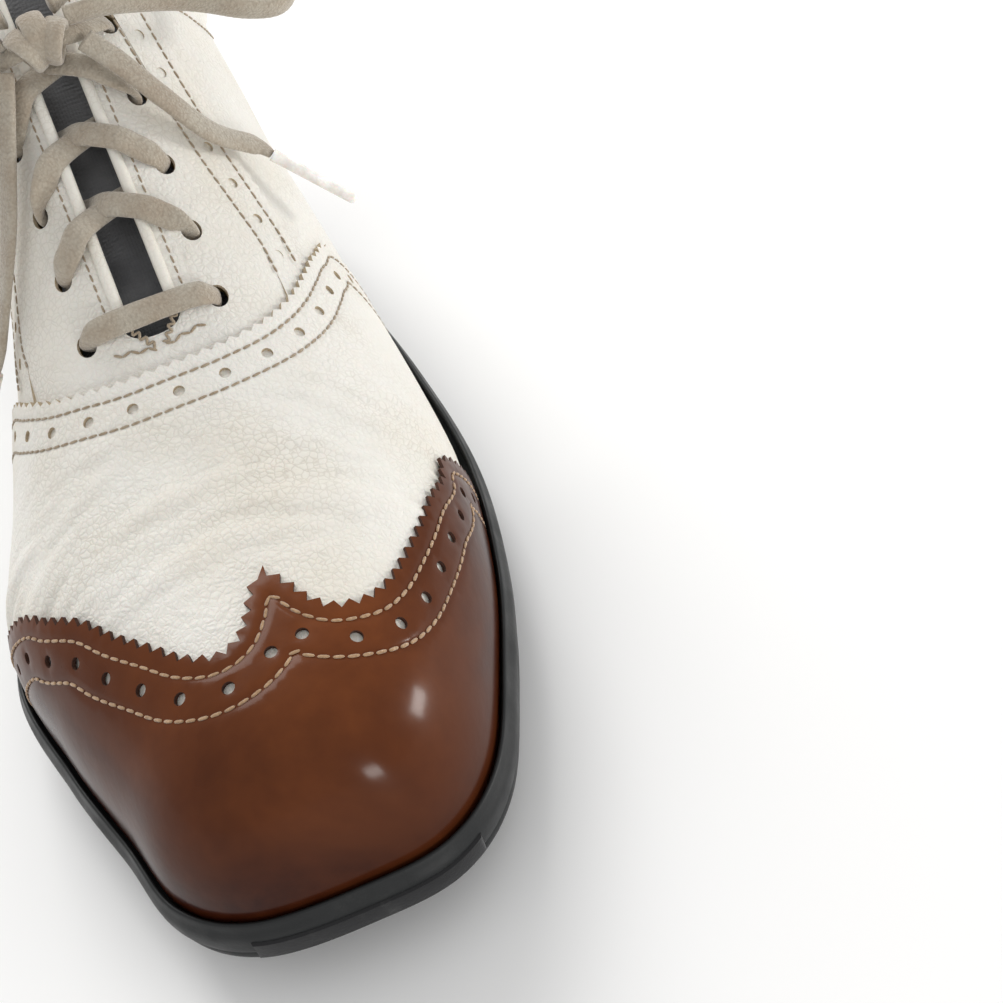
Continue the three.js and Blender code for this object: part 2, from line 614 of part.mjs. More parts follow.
function makeSole() {
  const pieces = {};
  const recess = soleSlab(CAP_OUTER + GAP + 0.2, (y) => FEATHER(y) + 40, (y) => FEATHER(y) - GAP - 0.1);
  const lip = (y) => FEATHER(y) + FEATHER_DROP + LIP_HEIGHT - 2;
  const midsoleBottom = (y) => FEATHER(y) - MIDSOLE_THICKNESS;
  const insertBand = box(-22, 22, -200, -100 * scaleY, 14.2, 19.0);
  const insertSkin = soleSlab(SOLE_OUTSET + 0.5, () => 60, () => 0).subtract(
    soleSlab(SOLE_OUTSET - 1.4, () => 60, () => 0),
  );
  pieces.toe_insert = largest(insertSkin.intersect(insertBand));
  const insertPocket = soleSlab(SOLE_OUTSET + 3, () => 60, () => 0)
    .subtract(soleSlab(SOLE_OUTSET - 1.4 - GAP, () => 60, () => 0))
    .intersect(box(-22 - GAP, 22 + GAP, -200, -100 * scaleY, 14.2 - GAP, 19.0 + GAP));
  const shankTop = (y) => FEATHER(y) - GAP - 0.6;
  const shankSlab = (grow) =>
    sidePrism([
      ...[8, 25, 42, 60, 78, 92].map((y) => [y, shankTop(y) - 1.4 - grow]),
      ...[92, 78, 60, 42, 25, 8].map((y) => [y, shankTop(y) + grow]),
    ]).intersect(box(-7 - grow, 7 + grow, (8 - grow) * scaleY, (92 + grow) * scaleY, 0, 90));
  pieces.shank = shankSlab(0);
  pieces.midsole = soleSlab(SOLE_OUTSET, lip, midsoleBottom)
    .subtract(recess)
    .subtract(insertPocket)
    .subtract(
      box(-7 - GAP, 7 + GAP, (8 - GAP) * scaleY, (92 + GAP) * scaleY, 0, 90).intersect(
        sidePrism([
          ...[0, 25, 42, 60, 78, 100].map((y) => [y, shankTop(y) - 1.4 - GAP]),
          ...[100, 78, 60, 42, 25, 0].map((y) => [y, shankTop(y) + 20]),
        ]),
      ),
    );
  const plateTop = (y) => midsoleBottom(y) - GAP;
  const sole = soleSlab(SOLE_OUTSET - 0.8, plateTop, TREAD);
  const front = box(-90, 90, -200, (HEEL_FRONT - GAP) * scaleY, -10, 60);
  const back = box(-90, 90, HEEL_FRONT * scaleY, 200, -10, 60);
  let outsole = sole.intersect(front).subtract(insertPocket);
  const liftTop = GROUND_TO_TREAD + HEEL_LIFT_THICKNESS;
  pieces.heel_block = soleSlab(
    SOLE_OUTSET - 0.8,
    plateTop,
    () => liftTop + GAP,
    HEEL_FRONT - 3,
  ).intersect(back);
  let lift = soleSlab(SOLE_OUTSET - 1.2, () => liftTop, () => GROUND_TO_TREAD).intersect(back);
  for (const { name, x, y, base, heel } of cleatPlaces()) {
    const pocketTop = base + GAP + RECEPTACLE_HEIGHT + GAP;
    const pocket = upright(RECEPTACLE_RADIUS + GAP, base - 6, pocketTop, x, y);
    if (heel) lift = lift.subtract(pocket);
    else outsole = outsole.subtract(pocket);
    const receptacle = upright(RECEPTACLE_RADIUS, base + GAP, base + GAP + RECEPTACLE_HEIGHT, x, y);
    const socket = upright(STUD_RADIUS + GAP, base - 5, base + 30, x, y, 8);
    pieces[`receptacle_${name}`] = receptacle.subtract(socket);
    pieces[`cleat_${name}`] = makeCleat(x, y, base);
  }
  pieces.outsole = outsole;
  pieces.heel_lift = lift;
  pieces.insole_board = soleSlab(LINING_INNER - GAP - 0.8, (y) => FEATHER(y) + INSOLE_THICKNESS, (y) => FEATHER(y) - 0.1);
  pieces.footbed = soleSlab(
    LINING_INNER - GAP - 1.8,
    (y) => FEATHER(y) + INSOLE_THICKNESS + GAP + FOOTBED_THICKNESS,
    (y) => FEATHER(y) + INSOLE_THICKNESS + GAP,
  );
  return pieces;
}

// Soft cleat: a disc with splayed legs below and a quarter-turn stud above.
function makeCleat(x, y, base) {
  const discTop = base - GAP;
  let cleat = upright(CLEAT_RADIUS, discTop - CLEAT_DISC, discTop, x, y, 12);
  cleat = cleat.add(upright(STUD_RADIUS, discTop - 0.5, base + GAP + RECEPTACLE_HEIGHT - 0.6, x, y, 8));
  for (let k = 0; k < CLEAT_LEGS; k += 1) {
    const angle = (2 * Math.PI * k) / CLEAT_LEGS;
    const height = discTop - CLEAT_DISC + 0.5;
    const leg = new THREE.CylinderGeometry(2.0, 1.2, height, 4);
    leg.rotateX(Math.PI / 2);
    leg.translate(x + 7.0 * Math.cos(angle), y + 7.0 * Math.sin(angle), height / 2);
    cleat = cleat.add(solidOf(leg));
  }
  return cleat;
}

// ---------------------------------------------------------------- the lace
const OVER = UPPER_OUTER + 0.35 + LACE_RADIUS; // riding on the facings
const UNDER = LINING_OUTER - 0.3 - LACE_RADIUS; // behind the facings and the blind eyelets

// One half of the lace: from the bar at the bottom row, up through every row.
function laceHalf(start, radius) {
  const route = [];
  const put = (x, y, offset) => route.push(onSurface(x, y, offset));
  const rowY = (row) => FIRST_EYELET_Y + EYELET_PITCH * row;
  let side = start;
  put(-side * 1.5, rowY(0), OVER + 0.9);
  put(side * 8, rowY(0), OVER + 0.3);
  put(side * 12.4, rowY(0), OVER - 0.2);
  put(side * EYELET_X, rowY(0) + 0.2, -1.4);
  put(side * EYELET_X, rowY(0) + 0.6, -3.4);
  put(side * EYELET_X, rowY(0) + 2.2, UNDER - 0.1);
  put(side * EYELET_X, rowY(0) + 5, UNDER - 0.3);
  put(side * EYELET_X, rowY(1) - 5, UNDER - 0.3);
  put(side * EYELET_X, rowY(1) - 2.2, UNDER - 0.1);
  put(side * EYELET_X, rowY(1) - 0.6, -3.4);
  for (let row = 1; row < EYELET_ROWS; row += 1) {
    const y = rowY(row);
    const last = row === EYELET_ROWS - 1;
    put(side * EYELET_X, y, -1.4);
    if (last) {
      put(side * 12.6, y - 0.5, OVER);
      put(side * 10, y - 1.8, OVER + 1.4);
      put(side * 6.7, y - 5.2, OVER + 3.8);
      break;
    }
    put(side * 12.6, y + 0.6, OVER);
    put(side * 9, y + 2.2, OVER + 0.4);
    put(side * 6.2, y + 3.8, OVER + 1.2);
    put(0, y + EYELET_PITCH * 0.5, -1.5);
    put(-side * 6.2, y + EYELET_PITCH - 3.8, -5.7);
    put(-side * 9.5, y + EYELET_PITCH - 2.4, UNDER - 0.3);
    put(-side * 12.8, y + EYELET_PITCH - 0.8, -4.2);
    side = -side;
  }
  return tube(route, radius, 6, 46);
}

const KNOT = { x: 0, y: 33, offset: 6.2 };
const knotCentre = onSurface(KNOT.x, KNOT.y, KNOT.offset);

const KNOT_RADII = [6.4, 4.8, 4.0];

// Free parts of the lace: two bow loops and two ends, each leaving the knot.
const FREE_ROUTES = {
  lace_end_outer: [[6.9, 31.2, 6.2], [11, 27, 5.9], [16, 22, 5.0], [23, 18.5, 3.2], [30, 20.5, 3.4]],
  lace_end_inner: [[-6.9, 31.2, 6.0], [-11, 24, 4.6], [-18, 14, 3.2], [-26, 7, 2.6], [-31, 4, 2.6]],
};
const AGLET_HEADINGS = {
  lace_end_outer: new THREE.Vector3(0.66, -0.42, -0.62).normalize(),
  lace_end_inner: new THREE.Vector3(-0.55, -0.1, -0.82).normalize(),
};
// Loop points are measured from the middle of the knot.
const LOOP_ROUTES = {
  lace_loop_outer: [
    [6.4, 1.2, 2.0], [16, 1.5, 0.5], [31, 6, -6], [45, 5, -11], [51, 5, -11],
    [51.5, 9.5, -8], [45, 13, -4], [33, 14, 1], [18, 10.5, 7], [4.6, 3.4, 4.2],
  ],
  lace_loop_inner: [
    [-6.9, 1.0, 1.6], [-16, -0.5, -1.5], [-28, -5, -10], [-37, -9, -21], [-40, -9, -26],
    [-41.5, -4.5, -24], [-38, 1, -15.5], [-30, 5, -5], [-18, 8, 5], [-4.9, 3.7, 4.6],
  ],
};

function makeKnot() {
  const knot = new THREE.SphereGeometry(1, 12, 8);
  knot.scale(...KNOT_RADII);
  knot.rotateX(0.6);
  knot.translate(knotCentre.x, knotCentre.y, knotCentre.z);
  return solidOf(knot);
}

// ---------------------------------------------------------------- materials and nodes
const finish = (color, roughness, metalness = 0) =>
  new THREE.MeshStandardMaterial({ color, roughness, metalness });
const WHITE_LEATHER = () => finish(0xe6e1d8, 0.55);
const BROWN_PATENT = () => finish(0x6e2f18, 0.15);
const BLACK_RUBBER = () => finish(0x141517, 0.6);
const GREY_CLOTH = () => finish(0x4a4c50, 0.9);
const CREAM_COTTON = () => finish(0xdcd3c4, 0.9);

const shoe = new THREE.Group();
const assembled = new Map();

function addNode(name, solid, material) {
  const { vertProperties, triVerts, numProp } = solid.getMesh();
  const geometry = new THREE.BufferGeometry();
  const positions = new Float32Array((vertProperties.length / numProp) * 3);
  for (let i = 0; i < positions.length / 3; i += 1) {
    for (let c = 0; c < 3; c += 1) positions[3 * i + c] = vertProperties[numProp * i + c];
  }
  geometry.setAttribute("position", new THREE.BufferAttribute(positions, 3));
  geometry.setIndex(new THREE.BufferAttribute(triVerts, 1));
  geometry.computeVertexNormals();
  const mesh = new THREE.Mesh(geometry, material);
  mesh.name = name;
  assembled.set(name, mesh);
  shoe.add(mesh);
}

const FINISHES = {
  toe_cap: BROWN_PATENT, heel_cap: BROWN_PATENT, back_stay: BROWN_PATENT,
  vamp: WHITE_LEATHER, facing_outer: WHITE_LEATHER, facing_inner: WHITE_LEATHER,
  quarter_outer: WHITE_LEATHER, quarter_inner: WHITE_LEATHER, tongue: WHITE_LEATHER,
  tongue_lining: GREY_CLOTH, vamp_lining: GREY_CLOTH, quarter_lining: GREY_CLOTH,
  collar_foam: () => finish(0xd8c79a, 0.95), toe_puff: () => finish(0xcbb894, 0.8),
  heel_counter: () => finish(0xcbb894, 0.7), midsole: BLACK_RUBBER, outsole: BLACK_RUBBER,
  heel_block: BLACK_RUBBER, heel_lift: BLACK_RUBBER, toe_insert: () => finish(0x1b1c1f, 0.2),
  shank: () => finish(0x9a9c9f, 0.35, 1), insole_board: () => finish(0xb9a27c, 0.85),
  footbed: () => finish(0x55575b, 0.9),
};

const heldLace = laceHalf(1, LACE_RADIUS).add(laceHalf(-1, LACE_RADIUS));

for (const group of [makeUpper(), makeTongue(), makeSole()]) {
  for (const [name, solid] of Object.entries(group)) {
    let material = FINISHES[name];
    if (name.startsWith("cleat")) material = () => finish(0x2a2b2e, 0.45);
    if (name.startsWith("receptacle")) material = () => finish(0x3a3b3e, 0.5);
    addNode(name, solid, material());
  }
}
addNode("piping_outer", makePiping(1), finish(0xf0ede6, 0.5));
addNode("piping_inner", makePiping(-1), finish(0xf0ede6, 0.5));
addNode("collar_roll", makeCollar(), finish(0xe6e1d8, 0.6));
for (const { row, side, x, y } of eyeletPlaces()) {
  addNode(`eyelet_${side > 0 ? "outer" : "inner"}_${row + 1}`, eyeletRing(x, y), finish(0xb59a5b, 0.4, 1));
}
addNode("lace", heldLace, CREAM_COTTON());
addNode("bow_knot", makeKnot(), CREAM_COTTON());
for (const [name, places] of Object.entries(FREE_ROUTES)) {
  const route = places.map(([x, y, offset]) => onSurface(x, y, offset));
  const heading = AGLET_HEADINGS[name];
  route.push(route[route.length - 1].clone().addScaledVector(heading, 4));
  const end = route[route.length - 1];
  const start = end.clone().addScaledVector(heading, 0.3);
  const tip = start.clone().addScaledVector(heading, AGLET_LENGTH);
  addNode(name, tube(route, LACE_RADIUS, 8, 16), CREAM_COTTON());
  addNode(name.replace("lace_end", "aglet"), tube([start, tip], AGLET_RADIUS, 8, 1), finish(0xeceae4, 0.3));
}
for (const [name, places] of Object.entries(LOOP_ROUTES)) {
  const route = places.map(([x, y, z]) => new THREE.Vector3(x, y, z).add(knotCentre));
  addNode(name, tube(route, LACE_RADIUS, 8, 28), CREAM_COTTON());
}

// Stand the shoe on its cleats, centred over the origin; the free lace doesn't move the origin.
const stood = new THREE.Box3();
for (const [name, mesh] of assembled) {
  if (/^(lace_|aglet_)/.test(name)) continue;
  stood.expandByObject(mesh);
}
shoe.position.set(
  -(stood.min.x + stood.max.x) / 2,
  -(stood.min.y + stood.max.y) / 2,
  -stood.min.z,
);

export default shoe;
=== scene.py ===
"""Looks of a white leather golf oxford with a brown patent wing-tip toe cap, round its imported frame."""
import math

import bmesh
import bpy
import numpy as np
from mathutils import Matrix, Vector, noise
from mathutils.geometry import delaunay_2d_cdt

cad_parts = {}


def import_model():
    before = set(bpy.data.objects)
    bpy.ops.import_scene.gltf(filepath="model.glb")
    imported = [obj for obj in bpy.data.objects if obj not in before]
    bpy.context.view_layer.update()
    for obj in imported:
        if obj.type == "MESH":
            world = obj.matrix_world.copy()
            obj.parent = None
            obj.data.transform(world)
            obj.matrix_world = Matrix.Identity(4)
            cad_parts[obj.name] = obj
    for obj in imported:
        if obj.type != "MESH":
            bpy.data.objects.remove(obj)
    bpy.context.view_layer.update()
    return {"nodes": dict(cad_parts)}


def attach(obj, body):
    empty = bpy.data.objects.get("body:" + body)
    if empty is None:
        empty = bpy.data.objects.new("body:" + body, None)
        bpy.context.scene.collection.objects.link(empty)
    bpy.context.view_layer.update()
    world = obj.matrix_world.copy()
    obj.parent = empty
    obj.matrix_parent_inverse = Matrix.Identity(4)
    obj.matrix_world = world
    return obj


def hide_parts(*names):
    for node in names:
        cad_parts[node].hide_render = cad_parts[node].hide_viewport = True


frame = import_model()

# Lengths below are in millimetres in the last's own frame; pieces are written in metres in the row frame.
MM = 0.001
SHIFT = np.array([1.669, -8.049, 0.0])
rng = np.random.default_rng(7)

# ---------------------------------------------------------------- camera
# Place in millimetres and unit axes, as they came out of a camera fit.
CAMERA_PLACE = np.array([19.59, -260.79, 240.55])
CAMERA_RIGHT = (0.921482, -0.338789, -0.189981)
CAMERA_UP = (0.373196, 0.636639, 0.674845)
CAMERA_FORWARD = (0.107681, 0.692757, -0.713086)
CAMERA_LENS = 51.92


def world(points):
    """Last-frame millimetres to row-frame metres."""
    return (np.asarray(points, float) + SHIFT) * MM


def make_camera():
    data = bpy.data.cameras.new("camera")
    data.lens = CAMERA_LENS
    data.sensor_width = 36
    data.clip_start = 0.01
    camera = bpy.data.objects.new("camera", data)
    bpy.context.scene.collection.objects.link(camera)
    back = [-c for c in CAMERA_FORWARD]
    turn = Matrix([CAMERA_RIGHT, CAMERA_UP, back]).transposed().to_4x4()
    camera.matrix_world = Matrix.Translation(Vector(world(CAMERA_PLACE))) @ turn
    bpy.context.scene.camera = camera


make_camera()

# ---------------------------------------------------------------- the last surface
HEEL_END = 137.0
TOE_END = -120.4
OUTER_SIDE = [
    [20.4, 131], [32.2, 113], [36.5, 88], [40.5, 50], [46.9, 10], [49, -28],
    [44.3, -61.5], [36.4, -86.9], [27.5, -107.7], [15.9, -118.5],
]
INNER_SIDE = [
    [20, 131], [30.5, 113], [33.2, 88], [32.3, 55], [35.6, 22], [46.6, -10],
    [52.4, -42], [45.1, -70.8], [37.2, -92.3], [31.1, -109.2], [19.2, -118.5],
]
OUTLINE = np.array(
    [[0, HEEL_END]] + OUTER_SIDE + [[0, TOE_END]] + [[-x, y] for x, y in reversed(INNER_SIDE)], float
)
TOE_PARAMETER = (len(OUTER_SIDE) + 1) / len(OUTLINE)
STATIONS = [-138, -105, -66, -20, 0, 55, 100, 137]
FEATHER_DROP = 2.0
RIDGE_HEIGHT = np.array([20.7, 32.7, 38.7, 53.8, 67.4, 105.3, 151.5, 160]) + FEATHER_DROP
FEATHER_HEIGHT = np.array([25, 20.3, 19.8, 18.4, 18.5, 23.5, 28, 30]) - FEATHER_DROP
PLAN_POWER = [3.23, 2.67, 2.58, 2.27, 1.85, 2.2, 2.4, 2.3]
HEIGHT_POWER = [2.4, 1.85, 2.35, 1.8, 2.0, 2.3, 2.2, 2.4]
RIDGE_REACH = 104.0
SPREAD = 138.0


def along(values, y, stations=STATIONS):
    """Smooth curve through values at stations, with straight ends."""
    s = np.asarray(stations, float)
    v = np.asarray(values, float)
    h = np.diff(s)
    slope = np.diff(v) / h
    tangent = np.empty(len(s))
    tangent[0], tangent[-1] = slope[0], slope[-1]
    tangent[1:-1] = (slope[:-1] * h[1:] + slope[1:] * h[:-1]) / (h[1:] + h[:-1])
    y = np.asarray(y, float)
    i = np.searchsorted(s[1:-1], y, side="left")
    u = (y - s[i]) / h[i]
    c = np.clip(u, 0, 1)
    inside = (
        (2 * c**3 - 3 * c**2 + 1) * v[i] + (c**3 - 2 * c**2 + c) * h[i] * tangent[i]
        + (3 * c**2 - 2 * c**3) * v[i + 1] + (c**3 - c**2) * h[i] * tangent[i + 1]
    )
    before = np.where(u < 0, u, 0) * h[i] * tangent[i]
    after = np.where(u > 1, u - 1, 0) * h[i] * tangent[i + 1]
    return inside + before + after


def outline_point(v):
    """Closed Catmull-Rom feather line; 0 is the heel, rising along +X."""
    n = len(OUTLINE)
    x = np.mod(v, 1.0) * n
    i = np.floor(x).astype(int)
    f = (x - i)[..., None]
    p = [OUTLINE[(i + k) % n] for k in (-1, 0, 1, 2)]
    return 0.5 * (
        2 * p[1] + (p[2] - p[0]) * f + (2 * p[0] - 5 * p[1] + 4 * p[2] - p[3]) * f**2
        + (3 * p[1] - p[0] - 3 * p[2] + p[3]) * f**3
    )


def ridge_station(py):
    return RIDGE_REACH * np.sin(math.pi / 2 * np.clip(py / SPREAD, -1, 1))


def last_point(v, rise):
    o = outline_point(v)
    centre = ridge_station(o[..., 1])
    angle = math.pi / 2 * rise
    rho = np.maximum(0, np.cos(angle)) ** (2 / along(PLAN_POWER, centre))
    zeta = np.sin(angle) ** (2 / along(HEIGHT_POWER, centre))
    y = centre + (o[..., 1] - centre) * rho
    z = along(FEATHER_HEIGHT, y) + along(RIDGE_HEIGHT, y) * zeta
    return np.stack([o[..., 0] * rho, y, z], axis=-1)


# The last is rolled out flat: each rib from the ridge to the feather line keeps its real length.
RIB_COUNT, RIB_POINTS, RIB_POWER = 700, 161, 1.6
tau = np.linspace(0, 1, RIB_POINTS)


class Half:
    """One side of the last: its ribs, from the heel (0) to the toe (1)."""

    def __init__(self, side):
        self.side = side
        reach = TOE_PARAMETER if side > 0 else 1 - TOE_PARAMETER
        self.q = np.linspace(0, 1, RIB_COUNT)
        v = side * self.q * reach
        rise = 1 - tau**RIB_POWER
        self.points = last_point(*np.meshgrid(v, rise, indexing="ij"))
        steps = np.linalg.norm(np.diff(self.points, axis=1), axis=2)
        self.length = np.concatenate([np.zeros((RIB_COUNT, 1)), np.cumsum(steps, axis=1)], axis=1)
        outline = outline_point(v)
        outline[[0, -1], 0] = 0
        self.outline = outline
        self.ridge = ridge_station(outline[:, 1])
        rib = outline - np.stack([0 * self.ridge, self.ridge], axis=1)
        self.rib = rib / np.linalg.norm(rib, axis=1)[:, None]

    def row(self, table, q):
        """Table rows at fractional rib positions."""
        x = np.clip(q, 0, 1) * (RIB_COUNT - 1)
        i = np.minimum(x.astype(int), RIB_COUNT - 2)
        f = (x - i).reshape(-1, *[1] * (table.ndim - 1))
        return table[i] * (1 - f) + table[i + 1] * f

    def flat(self, q, s):
        d = self.row(self.rib, q) * s[:, None]
        d[:, 1] += self.row(self.ridge, q)
        return d

    def rib_of(self, flat):
        """Which rib a flat point lies on."""
        low, high = np.zeros(len(flat)), np.ones(len(flat))
        for _ in range(34):
            mid = (low + high) / 2
            rib, ridge = self.row(self.rib, mid), self.row(self.ridge, mid)
            side_of = (rib[:, 0] * (flat[:, 1] - ridge) - rib[:, 1] * flat[:, 0]) * self.side
            low = np.where(side_of < 0, mid, low)
            high = np.where(side_of < 0, high, mid)
        return (low + high) / 2

    def solid(self, flat):
        """Points of the last for flat points; below the feather line the wall goes straight down."""
        out = np.empty((len(flat), 3))
        for start in range(0, len(flat), 20000):
            part = flat[start:start + 20000]
            q = self.rib_of(part)
            s = np.hypot(part[:, 0], part[:, 1] - self.row(self.ridge, q))
            lengths, points = self.row(self.length, q), self.row(self.points, q)
            k = np.clip((lengths < s[:, None]).sum(axis=1), 1, RIB_POINTS - 1)
            n = np.arange(len(part))
            a, b = lengths[n, k - 1], lengths[n, k]
            f = np.clip((s - a) / (b - a), 0, 1)[:, None]
            p = points[n, k - 1] * (1 - f) + points[n, k] * f
            p[:, 2] -= np.maximum(0, s - lengths[:, -1])
            out[start:start + 20000] = p
        return out


HALVES = {1: Half(1), -1: Half(-1)}
CELL = 0.5
FLAT_LOW = np.array([-172.0, -195.0])
FLAT_CELLS = (690, 990)


def flatten_out():
    xs = FLAT_LOW[0] + CELL * np.arange(FLAT_CELLS[0])
    ys = FLAT_LOW[1] + CELL * np.arange(FLAT_CELLS[1])
    grid = np.stack(np.meshgrid(xs, ys, indexing="ij"), axis=-1).reshape(-1, 2)
    points = np.empty((len(grid), 3))
    for side, chosen in ((1, grid[:, 0] >= 0), (-1, grid[:, 0] < 0)):
        points[chosen] = HALVES[side].solid(grid[chosen])
    points = points.reshape(*FLAT_CELLS, 3)
    dx, dy = np.gradient(points, CELL, axis=(0, 1))
    normal = np.cross(dx, dy)
    normal /= np.maximum(1e-9, np.linalg.norm(normal, axis=2))[..., None]
    return points, normal, dx, dy


LAST, NORMAL, PER_X, PER_Y = flatten_out()


def look_up(table, flat):
    x = (np.atleast_2d(flat) - FLAT_LOW) / CELL
    x = np.clip(x, 0, np.array(FLAT_CELLS) - 1.001)
    i = x.astype(int)
    f = x - i
    a, b = i[:, 0], i[:, 1]
    u, w = f[:, :1], f[:, 1:]
    return (
        table[a, b] * (1 - u) * (1 - w) + table[a + 1, b] * u * (1 - w)
        + table[a, b + 1] * (1 - u) * w + table[a + 1, b + 1] * u * w
    )


def normals_at(flat):
    n = look_up(NORMAL, flat)
    return n / np.linalg.norm(n, axis=1)[:, None]


def on_last(flat, offset=0.0):
    """Points of the last at an offset along its normal."""
    return look_up(LAST, flat) + normals_at(flat) * np.reshape(offset, (-1, 1))


def step_by(flat, move):
    """Flat points moved by a real 3-D move along the surface."""
    a, b = look_up(PER_X, flat), look_up(PER_Y, flat)
    aa, bb, ab = (a * a).sum(1), (b * b).sum(1), (a * b).sum(1)
    am, bm = (a * move).sum(1), (b * move).sum(1)
    det = aa * bb - ab * ab
    return flat + np.stack([(am * bb - bm * ab) / det, (bm * aa - am * ab) / det], axis=1)


def from_plan(points):
    """Flat points for places given in plan (x, y)."""
    points = np.atleast_2d(np.asarray(points, float))
    out = np.empty_like(points)
    for side, chosen in ((1, points[:, 0] >= 0), (-1, points[:, 0] < 0)):
        if not chosen.any():
            continue
        half, part = HALVES[side], points[chosen]
        x, y = np.abs(part[:, 0]), part[:, 1]
        low, high = np.zeros(len(part)), np.ones(len(part))

        def share(q):
            return np.clip(x / np.maximum(1e-6, np.abs(half.row(half.outline, q)[:, 0])), 0, 1)

        for _ in range(40):
            mid = (low + high) / 2
            ridge = half.row(half.ridge, mid)
            at = ridge + (half.row(half.outline, mid)[:, 1] - ridge) * share(mid)
            low = np.where(at > y, mid, low)
            high = np.where(at > y, high, mid)
        q = (low + high) / 2
        power = along(PLAN_POWER, half.row(half.ridge, q))
        rise = np.arccos(share(q) ** (power / 2)) / (math.pi / 2)
        t = (1 - rise) ** (1 / RIB_POWER)
        lengths = half.row(half.length, q)
        s = np.array([np.interp(ti, tau, row) for ti, row in zip(t, lengths)])
        out[chosen] = half.flat(q, s)
    return out


def feather(y0, y1, side, below=0.0, count=60):
    """Feather line on one side between two stations, a little further down the wall if asked."""
    half = HALVES[side]
    ys = np.linspace(y0, y1, count)
    q = np.interp(-ys, -half.outline[:, 1], half.q)
    return half.flat(q, half.row(half.length, q)[:, -1] + below)


def level_line(side, top, first=0.0, last=1.0):
    """Where the ribs, climbing from the feather line, first reach the height top(y)."""
    half = HALVES[side]
    out = []
    for i in range(RIB_COUNT):
        if not first <= half.q[i] <= last:
            continue
        p = half.points[i, ::-1]
        g = p[:, 2] - top(p[:, 1])
        over = np.nonzero(g >= 0)[0]
        if len(over) == 0 or over[0] == 0:
            continue
        k = over[0]
        f = np.clip(-g[k - 1] / (g[k] - g[k - 1]), 0, 1) if np.isfinite(g[k - 1]) else 1
        lengths = half.length[i, ::-1]
        s = lengths[k - 1] * (1 - f) + lengths[k] * f
        out.append(half.flat(half.q[i:i + 1], np.array([s]))[0])
    return np.array(out)


# ---------------------------------------------------------------- curves on the flat last
def arc_of(line):
    return np.concatenate([[0], np.cumsum(np.linalg.norm(np.diff(line, axis=0), axis=1))])


def resample(line, spacing=None, count=None):
    line = np.asarray(line, float)
    arc = arc_of(line)
    n = count or max(2, int(round(arc[-1] / spacing)) + 1)
    at = np.linspace(0, arc[-1], n)
    return np.stack([np.interp(at, arc, line[:, k]) for k in range(line.shape[1])], axis=1)


def smooth_curve(points, per=12):
    """Catmull-Rom through the points, centripetal enough for even points."""
    p = np.asarray(points, float)
    p = np.concatenate([[2 * p[0] - p[1]], p, [2 * p[-1] - p[-2]]])
    out = []
    for i in range(1, len(p) - 2):
        f = np.linspace(0, 1, per, endpoint=False)[:, None]
        out.append(
            0.5 * (2 * p[i] + (p[i + 1] - p[i - 1]) * f
                   + (2 * p[i - 1] - 5 * p[i] + 4 * p[i + 1] - p[i + 2]) * f**2
                   + (3 * p[i] - p[i - 1] - 3 * p[i + 1] + p[i + 2]) * f**3)
        )
    return np.concatenate(out + [p[-2:-1]])


def soften(line, width):
    """Moving average that keeps the ends."""
    line = np.asarray(line, float)
    k = np.ones(2 * width + 1) / (2 * width + 1)
    padded = np.concatenate([
        2 * line[0] - line[width:0:-1], line, 2 * line[-1] - line[-2:-width - 2:-1]
    ])
    return np.stack([np.convolve(padded[:, c], k, mode="valid") for c in range(line.shape[1])], axis=1)


def tangents(line):
    t = np.gradient(line, axis=0)
    return t / np.maximum(1e-9, np.linalg.norm(t, axis=1))[:, None]


def real_step(flat):
    """Real length between neighbouring points of a flat line."""
    p = on_last(flat)
    return np.concatenate([[0], np.cumsum(np.linalg.norm(np.diff(p, axis=0), axis=1))])


def beside(flat, distance):
    """A line on the last at a real distance to the left of a flat line."""
    p, n = on_last(flat), normals_at(flat)
    t = tangents(p)
    left = np.cross(n, t)
    left /= np.linalg.norm(left, axis=1)[:, None]
    return step_by(flat, left * np.reshape(distance, (-1, 1)))


def clean_offset(flat, distance, spacing=0.8):
    """beside(), without the loops that form inside tight corners."""
    fine = resample(flat, spacing=0.5)
    moved = beside(fine, distance)
    keep = apart(moved, fine) > abs(distance) * 0.93
    return resample(moved[keep], spacing=spacing)


def apart(flat, line):
    """Real distance from each flat point to a densely sampled flat line."""
    return nearest(on_last(flat), on_last(line))


def nearest(points, line, chunk=4000):
    """Distance from each point to a densely sampled line."""
    out = np.empty(len(points))
    for i in range(0, len(points), chunk):
        d = points[i:i + chunk, None, :] - line[None, :, :]
        out[i:i + chunk] = np.sqrt((d * d).sum(2).min(1))
    return out


def even_places(flat, pitch, margin=0.5):
    """Points spaced evenly by real length, with whole pitches."""
    arc = real_step(flat)
    n = max(1, int(round((arc[-1] - 2 * margin * pitch) / pitch)))
    at = np.linspace(margin * pitch, arc[-1] - margin * pitch, n + 1)
    return np.stack([np.interp(at, arc, flat[:, k]) for k in (0, 1)], axis=1), n


def pinked(flat, pitch=3.1, depth=1.5):
    """Zigzag edge: teeth stand out to the left of the line."""
    arc = real_step(flat)
    n = max(1, int(round(arc[-1] / pitch)))
    at = np.linspace(0, arc[-1], 2 * n + 1)
    base = np.stack([np.interp(at, arc, flat[:, k]) for k in (0, 1)], axis=1)
    depths = np.where(np.arange(2 * n + 1) % 2 == 1, depth, 0.0)
    moved = beside(resample(flat, spacing=0.5), depth)
    fine_arc = real_step(resample(flat, spacing=0.5))
    outer = np.stack([np.interp(at, fine_arc, moved[:, k]) for k in (0, 1)], axis=1)
    return np.where(depths[:, None] != 0, outer, base)


